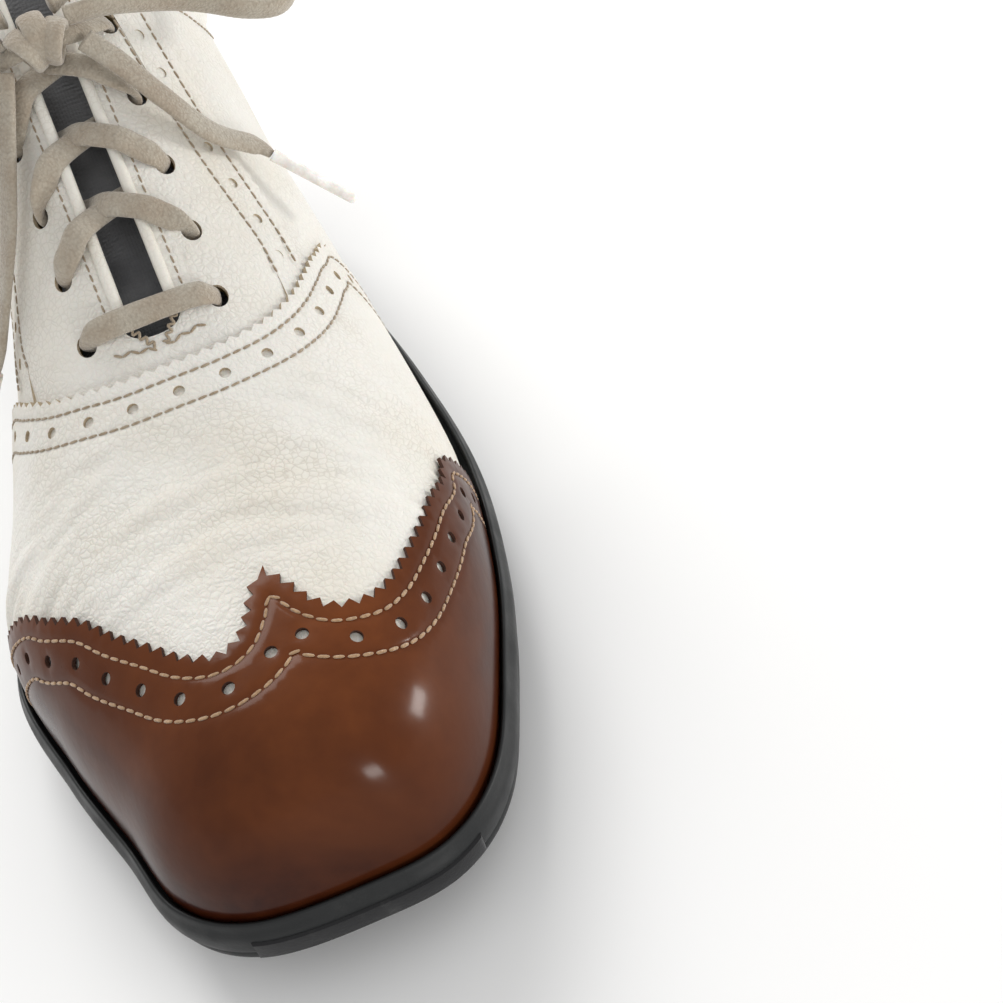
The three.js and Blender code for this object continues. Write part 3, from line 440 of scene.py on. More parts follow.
def ring(centre, radius, sides=14, stretch=1.0):
    """Round outline on the last about a flat point."""
    c = np.repeat(np.atleast_2d(centre), sides, axis=0)
    n = normals_at(c)
    a = np.cross(n, [0.0, 1.0, 0.0])
    a /= np.linalg.norm(a, axis=1)[:, None]
    b = np.cross(n, a)
    turn = 2 * math.pi * np.arange(sides)[:, None] / sides
    return step_by(c, radius * (a * np.cos(turn) * stretch + b * np.sin(turn)))


def fade(x, near, far):
    """1 up to near, 0 beyond far, smooth between."""
    t = np.clip((far - x) / (far - near), 0, 1)
    return t * t * (3 - 2 * t)


# ---------------------------------------------------------------- shells of leather
def inside_polygon(points, polygon):
    x, y = points[:, 0], points[:, 1]
    a, b = polygon, np.roll(polygon, -1, axis=0)
    out = np.zeros(len(points), bool)
    for (x0, y0), (x1, y1) in zip(a, b):
        if y0 == y1:
            continue
        cross = (y0 > y) != (y1 > y)
        out ^= cross & (x < (x1 - x0) * (y - y0) / (y1 - y0) + x0)
    return out


def without_repeats(line, least=0.05):
    kept = [line[0]]
    for p in line[1:]:
        if np.hypot(*(p - kept[-1])) > least:
            kept.append(p)
    if np.hypot(*(kept[0] - kept[-1])) <= least:
        kept.pop()
    return np.array(kept)


def triangulate(boundary, holes, ribs, spacing):
    """Triangles that fill a flat outline, less its holes, with extra points along ribs."""
    loops = [without_repeats(boundary)] + [without_repeats(h) for h in holes]
    low, high = loops[0].min(0), loops[0].max(0)
    rows = np.arange(low[1], high[1], spacing * 0.866)
    cells = []
    for k, y in enumerate(rows):
        xs = np.arange(low[0] + (k % 2) * spacing / 2, high[0], spacing)
        cells.append(np.stack([xs, np.full(len(xs), y)], axis=1))
    inner = np.concatenate(cells)
    if ribs:
        lines = np.concatenate(ribs)
        inner = inner[nearest(inner, lines) > 0.6 * min(spacing, 1.2)]
        inner = np.concatenate([inner, lines])
    edge = np.concatenate([resample(np.vstack([l, l[:1]]), spacing=0.5) for l in loops])
    keep = inside_polygon(inner, loops[0])
    for h in loops[1:]:
        keep &= ~inside_polygon(inner, h)
    inner = inner[keep]
    inner = inner[nearest(inner, edge) > 0.38 * min(spacing, 1.2)]
    vertices, edges = [], []
    for loop in loops:
        start = len(vertices)
        vertices += [Vector(p) for p in loop]
        edges += [(start + i, start + (i + 1) % len(loop)) for i in range(len(loop))]
    vertices += [Vector(p) for p in inner]
    made = delaunay_2d_cdt(vertices, edges, [], 0, 1e-5)
    flat = np.array([tuple(v) for v in made[0]])
    faces = np.array([f for f in made[2] if len(f) == 3])
    middle = flat[faces].mean(axis=1)
    keep = inside_polygon(middle, loops[0])
    for h in loops[1:]:
        keep &= ~inside_polygon(middle, h)
    faces = faces[keep]
    a, b, c = (flat[faces[:, k]] for k in range(3))
    area = (b[:, 0] - a[:, 0]) * (c[:, 1] - a[:, 1]) - (b[:, 1] - a[:, 1]) * (c[:, 0] - a[:, 0])
    faces[area < 0] = faces[area < 0][:, ::-1]
    used, faces = np.unique(faces, return_inverse=True)
    return flat[used], faces.reshape(-1, 3)


def mesh_object(name, points, faces, materials, indices=None, smooth=True):
    mesh = bpy.data.meshes.new(name)
    mesh.from_pydata(np.asarray(points).tolist(), [], [list(map(int, f)) for f in faces])
    for material in materials:
        mesh.materials.append(material)
    if indices is not None:
        mesh.polygons.foreach_set("material_index", np.asarray(indices, np.int32))
    mesh.polygons.foreach_set("use_smooth", np.full(len(faces), smooth))
    mesh.update()
    piece = bpy.data.objects.new(name, mesh)
    bpy.context.scene.collection.objects.link(piece)
    return piece


def finish_piece(piece, replaced=(), body="shoe"):
    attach(piece, body)
    if replaced:
        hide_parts(*replaced)
    return piece


def shell(name, boundary, outer, inner, materials, replaced=(), holes=(), ribs=(), spacing=1.6):
    """A cut sheet on the last between two offsets, with its cut edge as a second material."""
    flat, faces = triangulate(boundary, list(holes), list(ribs), spacing)
    outer_at = outer(flat) if callable(outer) else np.full(len(flat), float(outer))
    inner_at = inner(flat) if callable(inner) else np.full(len(flat), float(inner))
    directed = np.concatenate([faces[:, [0, 1]], faces[:, [1, 2]], faces[:, [2, 0]]])
    key = np.sort(directed, axis=1)
    _, first, count = np.unique(key, axis=0, return_index=True, return_counts=True)
    rim = directed[first[count == 1]]
    outer_at = outer_at.copy()
    outer_at[np.unique(rim)] -= min(0.12, 0.2 * float(np.mean(outer_at - inner_at)))
    n = len(flat)
    points = world(np.concatenate([on_last(flat, outer_at), on_last(flat, inner_at)]))
    walls = [[b, a, a + n, b + n] for a, b in rim]
    all_faces = list(faces) + list(faces[:, ::-1] + n) + walls
    indices = np.concatenate([np.zeros(2 * len(faces), int), np.ones(len(walls), int)])
    piece = mesh_object(name, points, all_faces, materials, indices)
    for k in range(2 * len(faces), len(all_faces)):
        piece.data.polygons[k].use_smooth = False
    mark_sharp(piece, rim, n)
    return finish_piece(piece, replaced)


def mark_sharp(piece, rim, n):
    """The cut edges stay crisp in the shading."""
    edges = piece.data.edges
    ends = np.empty(2 * len(edges), np.int32)
    edges.foreach_get("vertices", ends)
    ends = np.sort(ends.reshape(-1, 2), axis=1)
    width = 4 * n
    wanted = np.sort(np.concatenate([rim, rim + n]), axis=1)
    wanted_keys = wanted[:, 0].astype(np.int64) * width + wanted[:, 1]
    keys = ends[:, 0].astype(np.int64) * width + ends[:, 1]
    sharp = piece.data.attributes.new("sharp_edge", "BOOLEAN", "EDGE")
    sharp.data.foreach_set("value", np.isin(keys, wanted_keys))


# ---------------------------------------------------------------- thread
def capsule(sides=6):
    """Unit stitch along X: rings of a rounded, slightly flat thread."""
    stations = [(-1.0, 0.25), (-0.82, 0.75), (-0.4, 1.0), (0.4, 1.0), (0.82, 0.75), (1.0, 0.25)]
    points = []
    for x, r in stations:
        for k in range(sides):
            a = 2 * math.pi * k / sides
            points.append((x, r * math.cos(a), r * math.sin(a)))
    faces = []
    for i in range(len(stations) - 1):
        for k in range(sides):
            a, b = i * sides + k, i * sides + (k + 1) % sides
            faces.append([a, b, b + sides, a + sides])
    faces.append(list(range(sides))[::-1])
    faces.append([len(points) - sides + k for k in range(sides)])
    return np.array(points), faces


STITCH_POINTS, STITCH_FACES = capsule()


def ring_walls(rows, around, first=0, flip=False):
    """Quads between stacked rings of points; around is the number of points in a ring."""
    faces = []
    for i in range(rows - 1):
        for k in range(around):
            a, b = first + i * around + k, first + i * around + (k + 1) % around
            quad = [a, b, b + around, a + around]
            faces.append(quad[::-1] if flip else quad)
    return faces


class Stitches:
    """Collects the stitches of one piece of sewing."""

    def __init__(self):
        self.points, self.faces = [], []

    def add(self, a, b, up, radius, lift):
        middle, x = (a + b) / 2 + up * lift, b - a
        half = np.linalg.norm(x) / 2
        x = x / (2 * half)
        y = np.cross(up, x)
        y /= np.linalg.norm(y)
        z = np.cross(x, y)
        section = STITCH_POINTS[:, 1:2] * y + 0.8 * STITCH_POINTS[:, 2:] * z
        p = middle + STITCH_POINTS[:, :1] * half * x + radius * section
        start = sum(len(q) for q in self.points)
        self.points.append(p)
        self.faces += [[start + i for i in f] for f in STITCH_FACES]

    def row(self, flat, offset, pitch=2.2, length=0.82, radius=0.3, lift=0.08):
        fine = resample(flat, spacing=0.4)
        places = even_places(fine, pitch)[0]
        t = tangents(on_last(places))
        up = normals_at(places)
        at = on_last(places, offset(places) if callable(offset) else offset)
        swing = np.cross(up, t) * 0.12
        for p, d, u, s in zip(at, t, up, swing):
            wobble = 1 + 0.08 * (rng.random() - 0.5)
            reach = d * pitch * length / 2 * wobble
            self.add(p - reach - s * 0.6, p + reach + s * 0.6, u, radius, lift)

    def make(self, name, material):
        piece = mesh_object(name, world(np.concatenate(self.points)), self.faces, [material])
        return finish_piece(piece)


# ---------------------------------------------------------------- materials
class Look:
    """A node material under construction."""

    def __init__(self, name):
        self.material = bpy.data.materials.new(name)
        self.material.use_nodes = True
        self.tree = self.material.node_tree
        self.shader = self.tree.nodes["Principled BSDF"]
        self.place = self.tree.nodes.new("ShaderNodeTexCoord").outputs["Object"]

    def link(self, value, socket):
        if isinstance(value, bpy.types.NodeSocket):
            self.tree.links.new(value, socket)
        elif value is not None:
            socket.default_value = value

    def set(self, **values):
        for key, value in values.items():
            self.link(value, self.shader.inputs[key.replace("_", " ")])
        return self

    def squeezed(self, scale):
        node = self.tree.nodes.new("ShaderNodeMapping")
        self.link(self.place, node.inputs["Vector"])
        node.inputs["Scale"].default_value = scale
        return node.outputs["Vector"]

    def noise(self, scale, detail=2.0, roughness=0.5, vector=None, distortion=0.0):
        node = self.tree.nodes.new("ShaderNodeTexNoise")
        self.link(vector or self.place, node.inputs["Vector"])
        self.link(float(scale), node.inputs["Scale"])
        self.link(float(detail), node.inputs["Detail"])
        self.link(float(roughness), node.inputs["Roughness"])
        self.link(float(distortion), node.inputs["Distortion"])
        return node.outputs["Fac"]

    def cells(self, scale, feature="SMOOTH_F1", vector=None, randomness=1.0):
        node = self.tree.nodes.new("ShaderNodeTexVoronoi")
        node.feature = feature
        self.link(vector or self.place, node.inputs["Vector"])
        self.link(float(scale), node.inputs["Scale"])
        self.link(float(randomness), node.inputs["Randomness"])
        return node.outputs["Distance"]

    def math(self, operation, a, b=0.0, clamp=False):
        node = self.tree.nodes.new("ShaderNodeMath")
        node.operation = operation
        node.use_clamp = clamp
        self.link(a, node.inputs[0])
        self.link(b, node.inputs[1])
        return node.outputs[0]

    def spread(self, value, low, high, to_low=0.0, to_high=1.0):
        node = self.tree.nodes.new("ShaderNodeMapRange")
        sockets = ("Value", "From Min", "From Max", "To Min", "To Max")
        for key, x in zip(sockets, (value, low, high, to_low, to_high)):
            self.link(x, node.inputs[key])
        return node.outputs["Result"]

    def mix(self, share, a, b):
        node = self.tree.nodes.new("ShaderNodeMix")
        node.data_type = "RGBA"
        colour = [s for s in node.inputs if s.type == "RGBA"]
        self.link(share, node.inputs["Factor"])
        self.link((*a, 1.0) if isinstance(a, tuple) else a, colour[0])
        self.link((*b, 1.0) if isinstance(b, tuple) else b, colour[1])
        return next(s for s in node.outputs if s.type == "RGBA")

    def axis(self, index):
        node = self.tree.nodes.new("ShaderNodeSeparateXYZ")
        self.link(self.place, node.inputs[0])
        return node.outputs[index]

    def bump(self, height, distance, strength=1.0, under=None):
        node = self.tree.nodes.new("ShaderNodeBump")
        self.link(height, node.inputs["Height"])
        node.inputs["Distance"].default_value = distance
        node.inputs["Strength"].default_value = strength
        if under is not None:
            self.link(under, node.inputs["Normal"])
        return node.outputs["Normal"]


def warped(look, scale, amount):
    """Object coordinates pushed about by noise, so that cells don't look regular."""
    node = look.tree.nodes.new("ShaderNodeTexNoise")
    look.link(look.place, node.inputs["Vector"])
    look.link(float(scale), node.inputs["Scale"])
    add = look.tree.nodes.new("ShaderNodeVectorMath")
    add.operation = "MULTIPLY_ADD"
    look.link(node.outputs["Color"], add.inputs[0])
    add.inputs[1].default_value = (amount,) * 3
    look.link(look.place, add.inputs[2])
    return add.outputs[0]


def white_leather(name, colour, stain, dirt, grain=1.0):
    look = Look(name)
    wander = warped(look, 320, 0.0012)
    pebble = look.cells(720, "DISTANCE_TO_EDGE", wander)
    pebble = look.spread(pebble, 0.0, 0.32)
    fold = look.noise(260, 4.0, 0.62, distortion=0.6)
    fine = look.noise(2600, 3.0, 0.6)
    patches = look.spread(look.noise(26, 3.0, 0.6), 0.42, 0.68)
    body = look.mix(look.math("MULTIPLY", patches, 0.55), colour, stain)
    between_pebbles = look.spread(pebble, 0.0, 0.35, 1.0, 0.0)
    soiled = look.math("MULTIPLY", between_pebbles, look.spread(look.noise(55, 2.0), 0.4, 0.7, 0.05, 0.32))
    look.set(Base_Color=look.mix(soiled, body, dirt), Roughness=look.spread(fine, 0.3, 0.7, 0.42, 0.6))
    look.set(Specular_IOR_Level=0.45, Subsurface_Weight=0.04, Subsurface_Scale=0.002)
    normal = look.bump(fold, 0.0011 * grain, 0.42)
    normal = look.bump(pebble, 0.00022 * grain, 0.42, normal)
    look.set(Normal=look.bump(fine, 0.00007, 0.5, normal))
    return look.material


def brown_patent():
    look = Look("brown_patent")
    # Painted light and shade: the patent is painted lighter towards the top and darker down its walls and
    # front, by height above the floor; the clouds and mottle add random tone.
    height = look.spread(look.axis(2), 0.026, 0.058)
    cloud = look.noise(24, 4.0, 0.6, distortion=0.4)
    clouds = look.spread(cloud, 0.35, 0.65, -0.15, 0.3)
    painted_light_share = look.math("ADD", look.math("MULTIPLY", height, 0.75), clouds, clamp=True)
    # Painted shade on the low walls and front (first colour), painted light on the top (second colour).
    body = look.mix(painted_light_share, (0.022, 0.004, 0.002), (0.150, 0.042, 0.011))
    mottle = look.spread(look.noise(300, 3.0, 0.65), 0.35, 0.75, 0.0, 0.3)
    look.set(Base_Color=look.mix(mottle, body, (0.075, 0.018, 0.006)))
    look.set(Roughness=look.spread(cloud, 0.3, 0.7, 0.24, 0.36))
    look.set(Coat_Weight=0.32, Coat_Roughness=0.15, Coat_IOR=1.35, Specular_IOR_Level=0.04)
    normal = look.bump(look.noise(420, 2.0, 0.5), 0.00006, 0.6)
    look.set(Normal=look.bump(look.noise(60, 2.0, 0.5), 0.0005, 0.5, normal))
    coat = look.bump(look.noise(70, 2.0, 0.5), 0.0004, 0.35)
    look.set(Coat_Normal=coat)
    return look.material


def cut_edge(name, colour, dark):
    look = Look(name)
    fibre = look.noise(1500, 4.0, 0.7, look.squeezed((1.0, 1.0, 3.0)))
    look.set(Base_Color=look.mix(look.spread(fibre, 0.3, 0.7), dark, colour), Roughness=0.9)
    look.set(Normal=look.bump(fibre, 0.00025, 0.8))
    return look.material


def rubber(name, colour, roughness, worn=(0.05, 0.05, 0.048)):
    look = Look(name)
    scuff = look.spread(look.noise(90, 6.0, 0.72), 0.56, 0.74, 0.0, 0.5)
    grit = look.noise(2200, 3.0, 0.6)
    look.set(Base_Color=look.mix(scuff, colour, worn), Specular_IOR_Level=0.3)
    look.set(Roughness=look.spread(look.noise(140, 3.0), 0.3, 0.7, roughness - 0.08, roughness + 0.12))
    normal = look.bump(look.noise(110, 3.0, 0.6), 0.0005, 0.4)
    look.set(Normal=look.bump(grit, 0.00008, 0.5, normal))
    return look.material


def cotton(name, colour, tint, dark):
    look = Look(name)
    yarn = look.cells(1900, "SMOOTH_F1", warped(look, 900, 0.0005))
    fuzz = look.noise(5200, 3.0, 0.7)
    patches = look.spread(look.noise(130, 3.0, 0.6), 0.38, 0.66)
    body = look.mix(patches, colour, tint)
    share = look.math("MULTIPLY", look.spread(yarn, 0.2, 0.8), 0.5)
    look.set(Base_Color=look.mix(share, body, dark), Roughness=0.95, Sheen_Weight=0.45, Sheen_Roughness=0.5)
    look.set(Specular_IOR_Level=0.2)
    normal = look.bump(look.math("SUBTRACT", 1.0, yarn), 0.00035, 0.7)
    look.set(Normal=look.bump(fuzz, 0.00016, 0.7, normal))
    return look.material


def cloth(name, colour, dark, scale=1500):
    look = Look(name)
    weave = look.cells(scale, "F1", None, 0.25)
    fuzz = look.noise(3200, 3.0, 0.7)
    shade = look.spread(look.noise(60, 3.0), 0.35, 0.7)
    look.set(Base_Color=look.mix(shade, colour, dark), Roughness=0.92, Sheen_Weight=0.25)
    normal = look.bump(weave, 0.0003, 0.7)
    look.set(Normal=look.bump(fuzz, 0.0001, 0.6, normal))
    return look.material


def metal(name, colour, roughness):
    look = Look(name)
    brushed = look.noise(900, 3.0, 0.6, look.squeezed((1.0, 8.0, 1.0)))
    look.set(Base_Color=(*colour, 1.0), Metallic=1.0)
    look.set(Roughness=look.spread(brushed, 0.3, 0.7, roughness - 0.08, roughness + 0.1))
    look.set(Normal=look.bump(brushed, 0.00003, 0.4))
    return look.material


def board(name, colour, dark):
    look = Look(name)
    fibre = look.noise(700, 5.0, 0.7)
    look.set(Base_Color=look.mix(look.spread(fibre, 0.35, 0.65), colour, dark), Roughness=0.85)
    look.set(Normal=look.bump(fibre, 0.00015, 0.6))
    return look.material


def hard_plastic(name, colour, roughness, soft=0.0):
    look = Look(name)
    swirl = look.noise(420, 3.0, 0.6)
    pale = tuple(min(1.0, c * 1.35 + 0.01) for c in colour)
    look.set(Base_Color=look.mix(look.spread(swirl, 0.35, 0.7), colour, pale))
    look.set(Subsurface_Weight=soft, Subsurface_Scale=0.002)
    look.set(Roughness=look.spread(swirl, 0.3, 0.7, roughness - 0.05, roughness + 0.08))
    look.set(Normal=look.bump(look.noise(1800, 2.0), 0.00005, 0.4))
    return look.material


LEATHER = white_leather("white_leather", (0.775, 0.752, 0.700), (0.700, 0.650, 0.550), (0.330, 0.285, 0.220))
LEATHER_EDGE = cut_edge("white_leather_edge", (0.62, 0.52, 0.38), (0.36, 0.28, 0.18))
PIPING = white_leather("white_piping", (0.780, 0.755, 0.690), (0.72, 0.67, 0.57), (0.45, 0.40, 0.32), 0.35)
PATENT = brown_patent()
PATENT_EDGE = cut_edge("brown_edge", (0.085, 0.030, 0.014), (0.030, 0.010, 0.006))
RUBBER = rubber("black_rubber", (0.010, 0.011, 0.0115), 0.46, (0.035, 0.035, 0.033))
RUBBER_GLOSS = rubber("black_gloss", (0.008, 0.008, 0.009), 0.2)
LACE = cotton("lace_cotton", (0.470, 0.425, 0.350), (0.400, 0.335, 0.260), (0.250, 0.205, 0.155))
LINING = cloth("grey_lining", (0.190, 0.192, 0.198), (0.120, 0.121, 0.126))
FOAM = cloth("foam", (0.62, 0.55, 0.36), (0.48, 0.41, 0.26), 900)
BOARD = board("stiffener_board", (0.52, 0.42, 0.28), (0.36, 0.28, 0.18))
BRASS = metal("eyelet_brass", (0.32, 0.24, 0.11), 0.45)
STEEL = metal("shank_steel", (0.45, 0.46, 0.48), 0.35)
CLEAT = hard_plastic("cleat_plastic", (0.020, 0.021, 0.023), 0.4)
RECEPTACLE = hard_plastic("receptacle_plastic", (0.045, 0.046, 0.050), 0.45)
AGLET = hard_plastic("aglet_plastic", (0.780, 0.760, 0.710), 0.22, 0.25)
BEIGE_THREAD = cotton("thread_beige", (0.500, 0.330, 0.190), (0.430, 0.270, 0.150), (0.20, 0.12, 0.07))
WHITE_THREAD = cotton("thread_white", (0.430, 0.350, 0.255), (0.36, 0.28, 0.19), (0.18, 0.13, 0.08))

# ---------------------------------------------------------------- seam lines
# Control points in plan; the two ends lie on the feather line.
WING_PEAK = (3.0, -76.6)
WING_OUTER = [[43.5, -48], [41, -56], [37, -63.5], [33, -71], [28.5, -78], [24, -84], [19, -88], [13, -88.8],
              [9, -86.0], [6.3, -81.5], WING_PEAK]
WING_INNER = [WING_PEAK, [0.9, -80.4], [-1.2, -85.2], [-4.4, -89.3], [-9, -90.3], [-14.5, -87.2], [-20, -81],
              [-26, -74], [-31, -67], [-38, -60], [-44.5, -52]]
WING_ENDS = {1: -38.5, -1: -37.0}
VAMP_LINE = [[41, 12], [36.5, 3], [33, -5], [29, -12.5], [24, -18.5], [17.5, -23], [9, -25.5], [0, -26],
             [-10, -25.5], [-18, -23], [-25, -19], [-31, -12], [-35, -4], [-38.5, 3]]
VAMP_ENDS = {1: 16.0, -1: 9.0}
FACING_LINE = [[33.6, -4.5], [32.5, 4], [30.5, 12], [28.5, 19], [26.5, 27], [24.5, 36], [23, 44]]
THROAT_FRONT = -19.0
THROAT_HALF = 6.3
TOPLINE = np.array([
    [48.5, 121], [50.5, 112], [54.5, 103.5], [61, 95.5], [69, 88.5], [78, 83.5], [88, 81.5],
    [99, 83], [110, 88], [120, 93.5], [130, 97.5], [150, 100],
])
HEEL_CAP_LINE = np.array([[84, 10], [88, 34], [96, 50], [108, 60], [122, 66], [160, 70]])


def topline_height(y):
    return np.where(y < TOPLINE[0, 0], np.inf, np.interp(y, TOPLINE[:, 0], TOPLINE[:, 1]))


def heel_cap_height(y):
    return np.where(y < HEEL_CAP_LINE[0, 0], -np.inf, np.interp(y, HEEL_CAP_LINE[:, 0], HEEL_CAP_LINE[:, 1]))


def on_feather(y, side):
    return feather(y, y, side, count=2)[:1]


wing = np.concatenate([
    smooth_curve(np.vstack([on_feather(WING_ENDS[1], 1), from_plan(WING_OUTER)])),
    smooth_curve(np.vstack([from_plan(WING_INNER), on_feather(WING_ENDS[-1], -1)]))[1:],
])
vamp_line = smooth_curve(np.vstack([
    on_feather(VAMP_ENDS[1], 1), from_plan(VAMP_LINE), on_feather(VAMP_ENDS[-1], -1)
]))
tops = {}
for side in (1, -1):
    top = level_line(side, topline_height)
    tops[side] = soften(resample(top, spacing=1.0), 6)


def facing_line(side):
    plan = [[side * x, y] for x, y in FACING_LINE]
    line = smooth_curve(from_plan(plan))
    way = line[-1] - line[-6]
    return np.vstack([line, line[-1] + way / np.linalg.norm(way) * 14])


facing_lines = {side: facing_line(side) for side in (1, -1)}
# Everything in front of and below the top line, the whole upper as one flat outline.
whole = np.vstack([
    tops[1][::-1], feather(137, TOE_END, 1, count=200), feather(TOE_END, 137, -1, count=200), tops[-1],
])


def below_top(line):
    """Keeps a facing line up to where it meets the top line."""
    fine = resample(line, spacing=0.4)
    over = nearest(fine, np.vstack([tops[1], tops[-1]]))
    stop = int(np.argmin(over))
    return fine[:stop + 1]


facing_lines = {side: below_top(line) for side, line in facing_lines.items()}
CAP_STITCHES, CAP_HOLES = (2.7, 10.1), 6.3
BAND_STITCHES, BAND_HOLES = (2.6, 9.4), 6.0
HOLE_RADIUS = 1.2
wing_rows = {d: clean_offset(wing, d) for d in (*CAP_STITCHES, CAP_HOLES)}
vamp_rows = {d: clean_offset(vamp_line, d) for d in (*BAND_STITCHES, BAND_HOLES)}
facing_rows = {}
for side, line in facing_lines.items():
    start = resample(line, spacing=0.5)
    for d in (*BAND_STITCHES, BAND_HOLES):
        row = clean_offset(start, side * d)
        row = row[apart(row, resample(vamp_line, spacing=0.5)) > 3.0]
        facing_rows[side, d] = row

# ---------------------------------------------------------------- offsets of the layers
CAP_TOP, CAP_UNDER = 1.0, 0.12
VAMP_TOP, VAMP_UNDER = -0.1, -1.1
LAYER_TOP, LAYER_THICKNESS = -0.4, 1.0
vamp_fine = resample(vamp_line, spacing=0.5)
facing_fine = {side: resample(line, spacing=0.5) for side, line in facing_lines.items()}


def groove(flat, rows, depth=0.28, width=0.55):
    """How far the leather dips along its rows of stitches."""
    fine = np.concatenate([resample(r, spacing=0.4) for r in rows])
    d = apart(flat, fine)
    return depth * np.exp(-((d / width) ** 2))


def swell(flat, rows, height):
    """A soft swelling between the rows of stitches."""
    fine = np.concatenate([resample(r, spacing=0.5) for r in rows])
    return height * np.clip(apart(flat, fine) / 3.0, 0, 1) ** 0.7


def folds(flat, places):
    """Flex creases across the vamp, deepest over the ball of the foot."""
    y, x = places[:, 1], places[:, 0]
    strength = fade(np.abs(y + 52), 8, 34)
    out = np.empty(len(flat))
    for i, (px, py) in enumerate(zip(x, y)):
        drift = noise.noise(Vector((px * 0.03, py * 0.03, 4.0))) * 7
        a = noise.noise(Vector((px * 0.035 + 0.02 * py, (py + drift + 0.16 * abs(px)) * 0.17, 1.0)))
        b = noise.noise(Vector((px * 0.07 - 0.05 * py, (py - 0.2 * px + drift) * 0.33, 9.0)))
        c = noise.noise(Vector((px * 0.02, py * 0.02, 21.0)))
        out[i] = 0.46 * (1 - abs(a) * 3.8) + 0.26 * (1 - abs(b) * 3.4) - 0.6 * c
    return -strength * np.clip(out, -0.6, 0.55)


def vamp_top(flat):
    return (VAMP_TOP - groove(flat, [vamp_rows[d] for d in BAND_STITCHES])
            + swell(flat, list(vamp_rows.values()), 0.12) * fade(apart(flat, vamp_fine), 8, 12)
            + folds(flat, on_last(flat)) * fade(-apart(flat, vamp_fine), -16, -9))


def facing_top(flat):
    under = fade(apart(flat, vamp_fine), 0.5, 12)
    rows = [facing_rows[s, d] for s in (1, -1) for d in BAND_STITCHES]
    return LAYER_TOP - 0.85 * under - groove(flat, rows)


def quarter_top(flat):
    under = fade(apart(flat, vamp_fine), 0.5, 12)
    for side in (1, -1):
        under = np.maximum(under, 1.3 * fade(apart(flat, facing_fine[side]), 0.5, 11))
    places = on_last(flat)
    ripple = np.array([noise.noise(Vector(p * 0.045)) for p in places]) * 0.5
    return LAYER_TOP - 0.85 * under + ripple * fade(-apart(flat, vamp_fine), -26, -12)


# ---------------------------------------------------------------- toe cap
def holes_along(row, pitch):
    places = even_places(resample(row, spacing=0.4), pitch)[0]
    return [ring(p, HOLE_RADIUS) for p in places]


def ribs_beside(rows, reach=0.75):
    out = []
    for row in rows:
        line = resample(row, spacing=1.1)
        out += [line, beside(line, reach), beside(line, -reach)]
    return out


def cap_top(flat):
    places = on_last(flat)
    ripple = np.array([noise.noise(Vector(p * 0.03 + np.array([7.0, 0, 0]))) for p in places]) * 0.25
    return CAP_TOP - groove(flat, [wing_rows[d] for d in CAP_STITCHES], 0.35) + ripple


toe_edge = pinked(wing[::-1], 3.2, 1.6)
toe_boundary = np.vstack([
    toe_edge, feather(WING_ENDS[1], TOE_END, 1, 1.0, 90), feather(TOE_END, WING_ENDS[-1], -1, 1.0, 90),
])
shell(
    "toe_cap_leather", toe_boundary, cap_top, CAP_UNDER, [PATENT, PATENT_EDGE], ("toe_cap",),
    holes_along(wing_rows[CAP_HOLES], 9.4), ribs_beside([wing_rows[d] for d in CAP_STITCHES]), 1.5,
)
cap_sewing = Stitches()
for d in CAP_STITCHES:
    cap_sewing.row(wing_rows[d], CAP_TOP - 0.2, 2.5, radius=0.34)
cap_sewing.make("toe_cap_stitches", BEIGE_THREAD)

# ---------------------------------------------------------------- vamp
vamp_edge = pinked(vamp_line[::-1], 3.0, 1.1)
FRONT_OF_VAMP = -98.0
vamp_boundary = np.vstack([
    vamp_edge, feather(VAMP_ENDS[1], FRONT_OF_VAMP, 1, 1.0, 90),
    feather(FRONT_OF_VAMP, VAMP_ENDS[-1], -1, 1.0, 90),
])
shell(
    "vamp_leather", vamp_boundary, vamp_top, VAMP_UNDER, [LEATHER, LEATHER_EDGE], ("vamp",),
    holes_along(vamp_rows[BAND_HOLES], 9.6), ribs_beside([vamp_rows[d] for d in BAND_STITCHES]), 1.35,
)
vamp_sewing = Stitches()
for d in BAND_STITCHES:
    vamp_sewing.row(vamp_rows[d], VAMP_TOP - 0.16, 2.3)

# ---------------------------------------------------------------- facings
EYELET_X, EYELET_PITCH, FIRST_EYELET, EYELET_ROWS = 14.0, 13.2, -15.0, 5
eyelets = [
    (side, row, from_plan([[side * EYELET_X, FIRST_EYELET + EYELET_PITCH * row]]))
    for row in range(EYELET_ROWS) for side in (1, -1)
]
front = resample(clean_offset(vamp_line, 9.5), spacing=1.5)


def throat_line():
    """The slot between the facings, from the left top round its front to the right top."""
    x, y = THROAT_HALF, THROAT_FRONT
    plan = [[-x, 47.5], [-x, 30], [-x, 10], [-x, y + 6], [-x * 0.93, y + 2.4], [-x * 0.6, y + 0.4],
            [0, y - 0.2], [x * 0.6, y + 0.4], [x * 0.93, y + 2.4], [x, y + 6], [x, 10], [x, 30], [x, 47.5]]
    return smooth_curve(from_plan(plan), 8)


def between(line, a, b):
    """The stretch of a line between its points nearest to a and b."""
    i = int(np.argmin(np.hypot(*(line - a).T)))
    j = int(np.argmin(np.hypot(*(line - b).T)))
    return line[i:j + 1] if i <= j else line[j:i + 1][::-1]


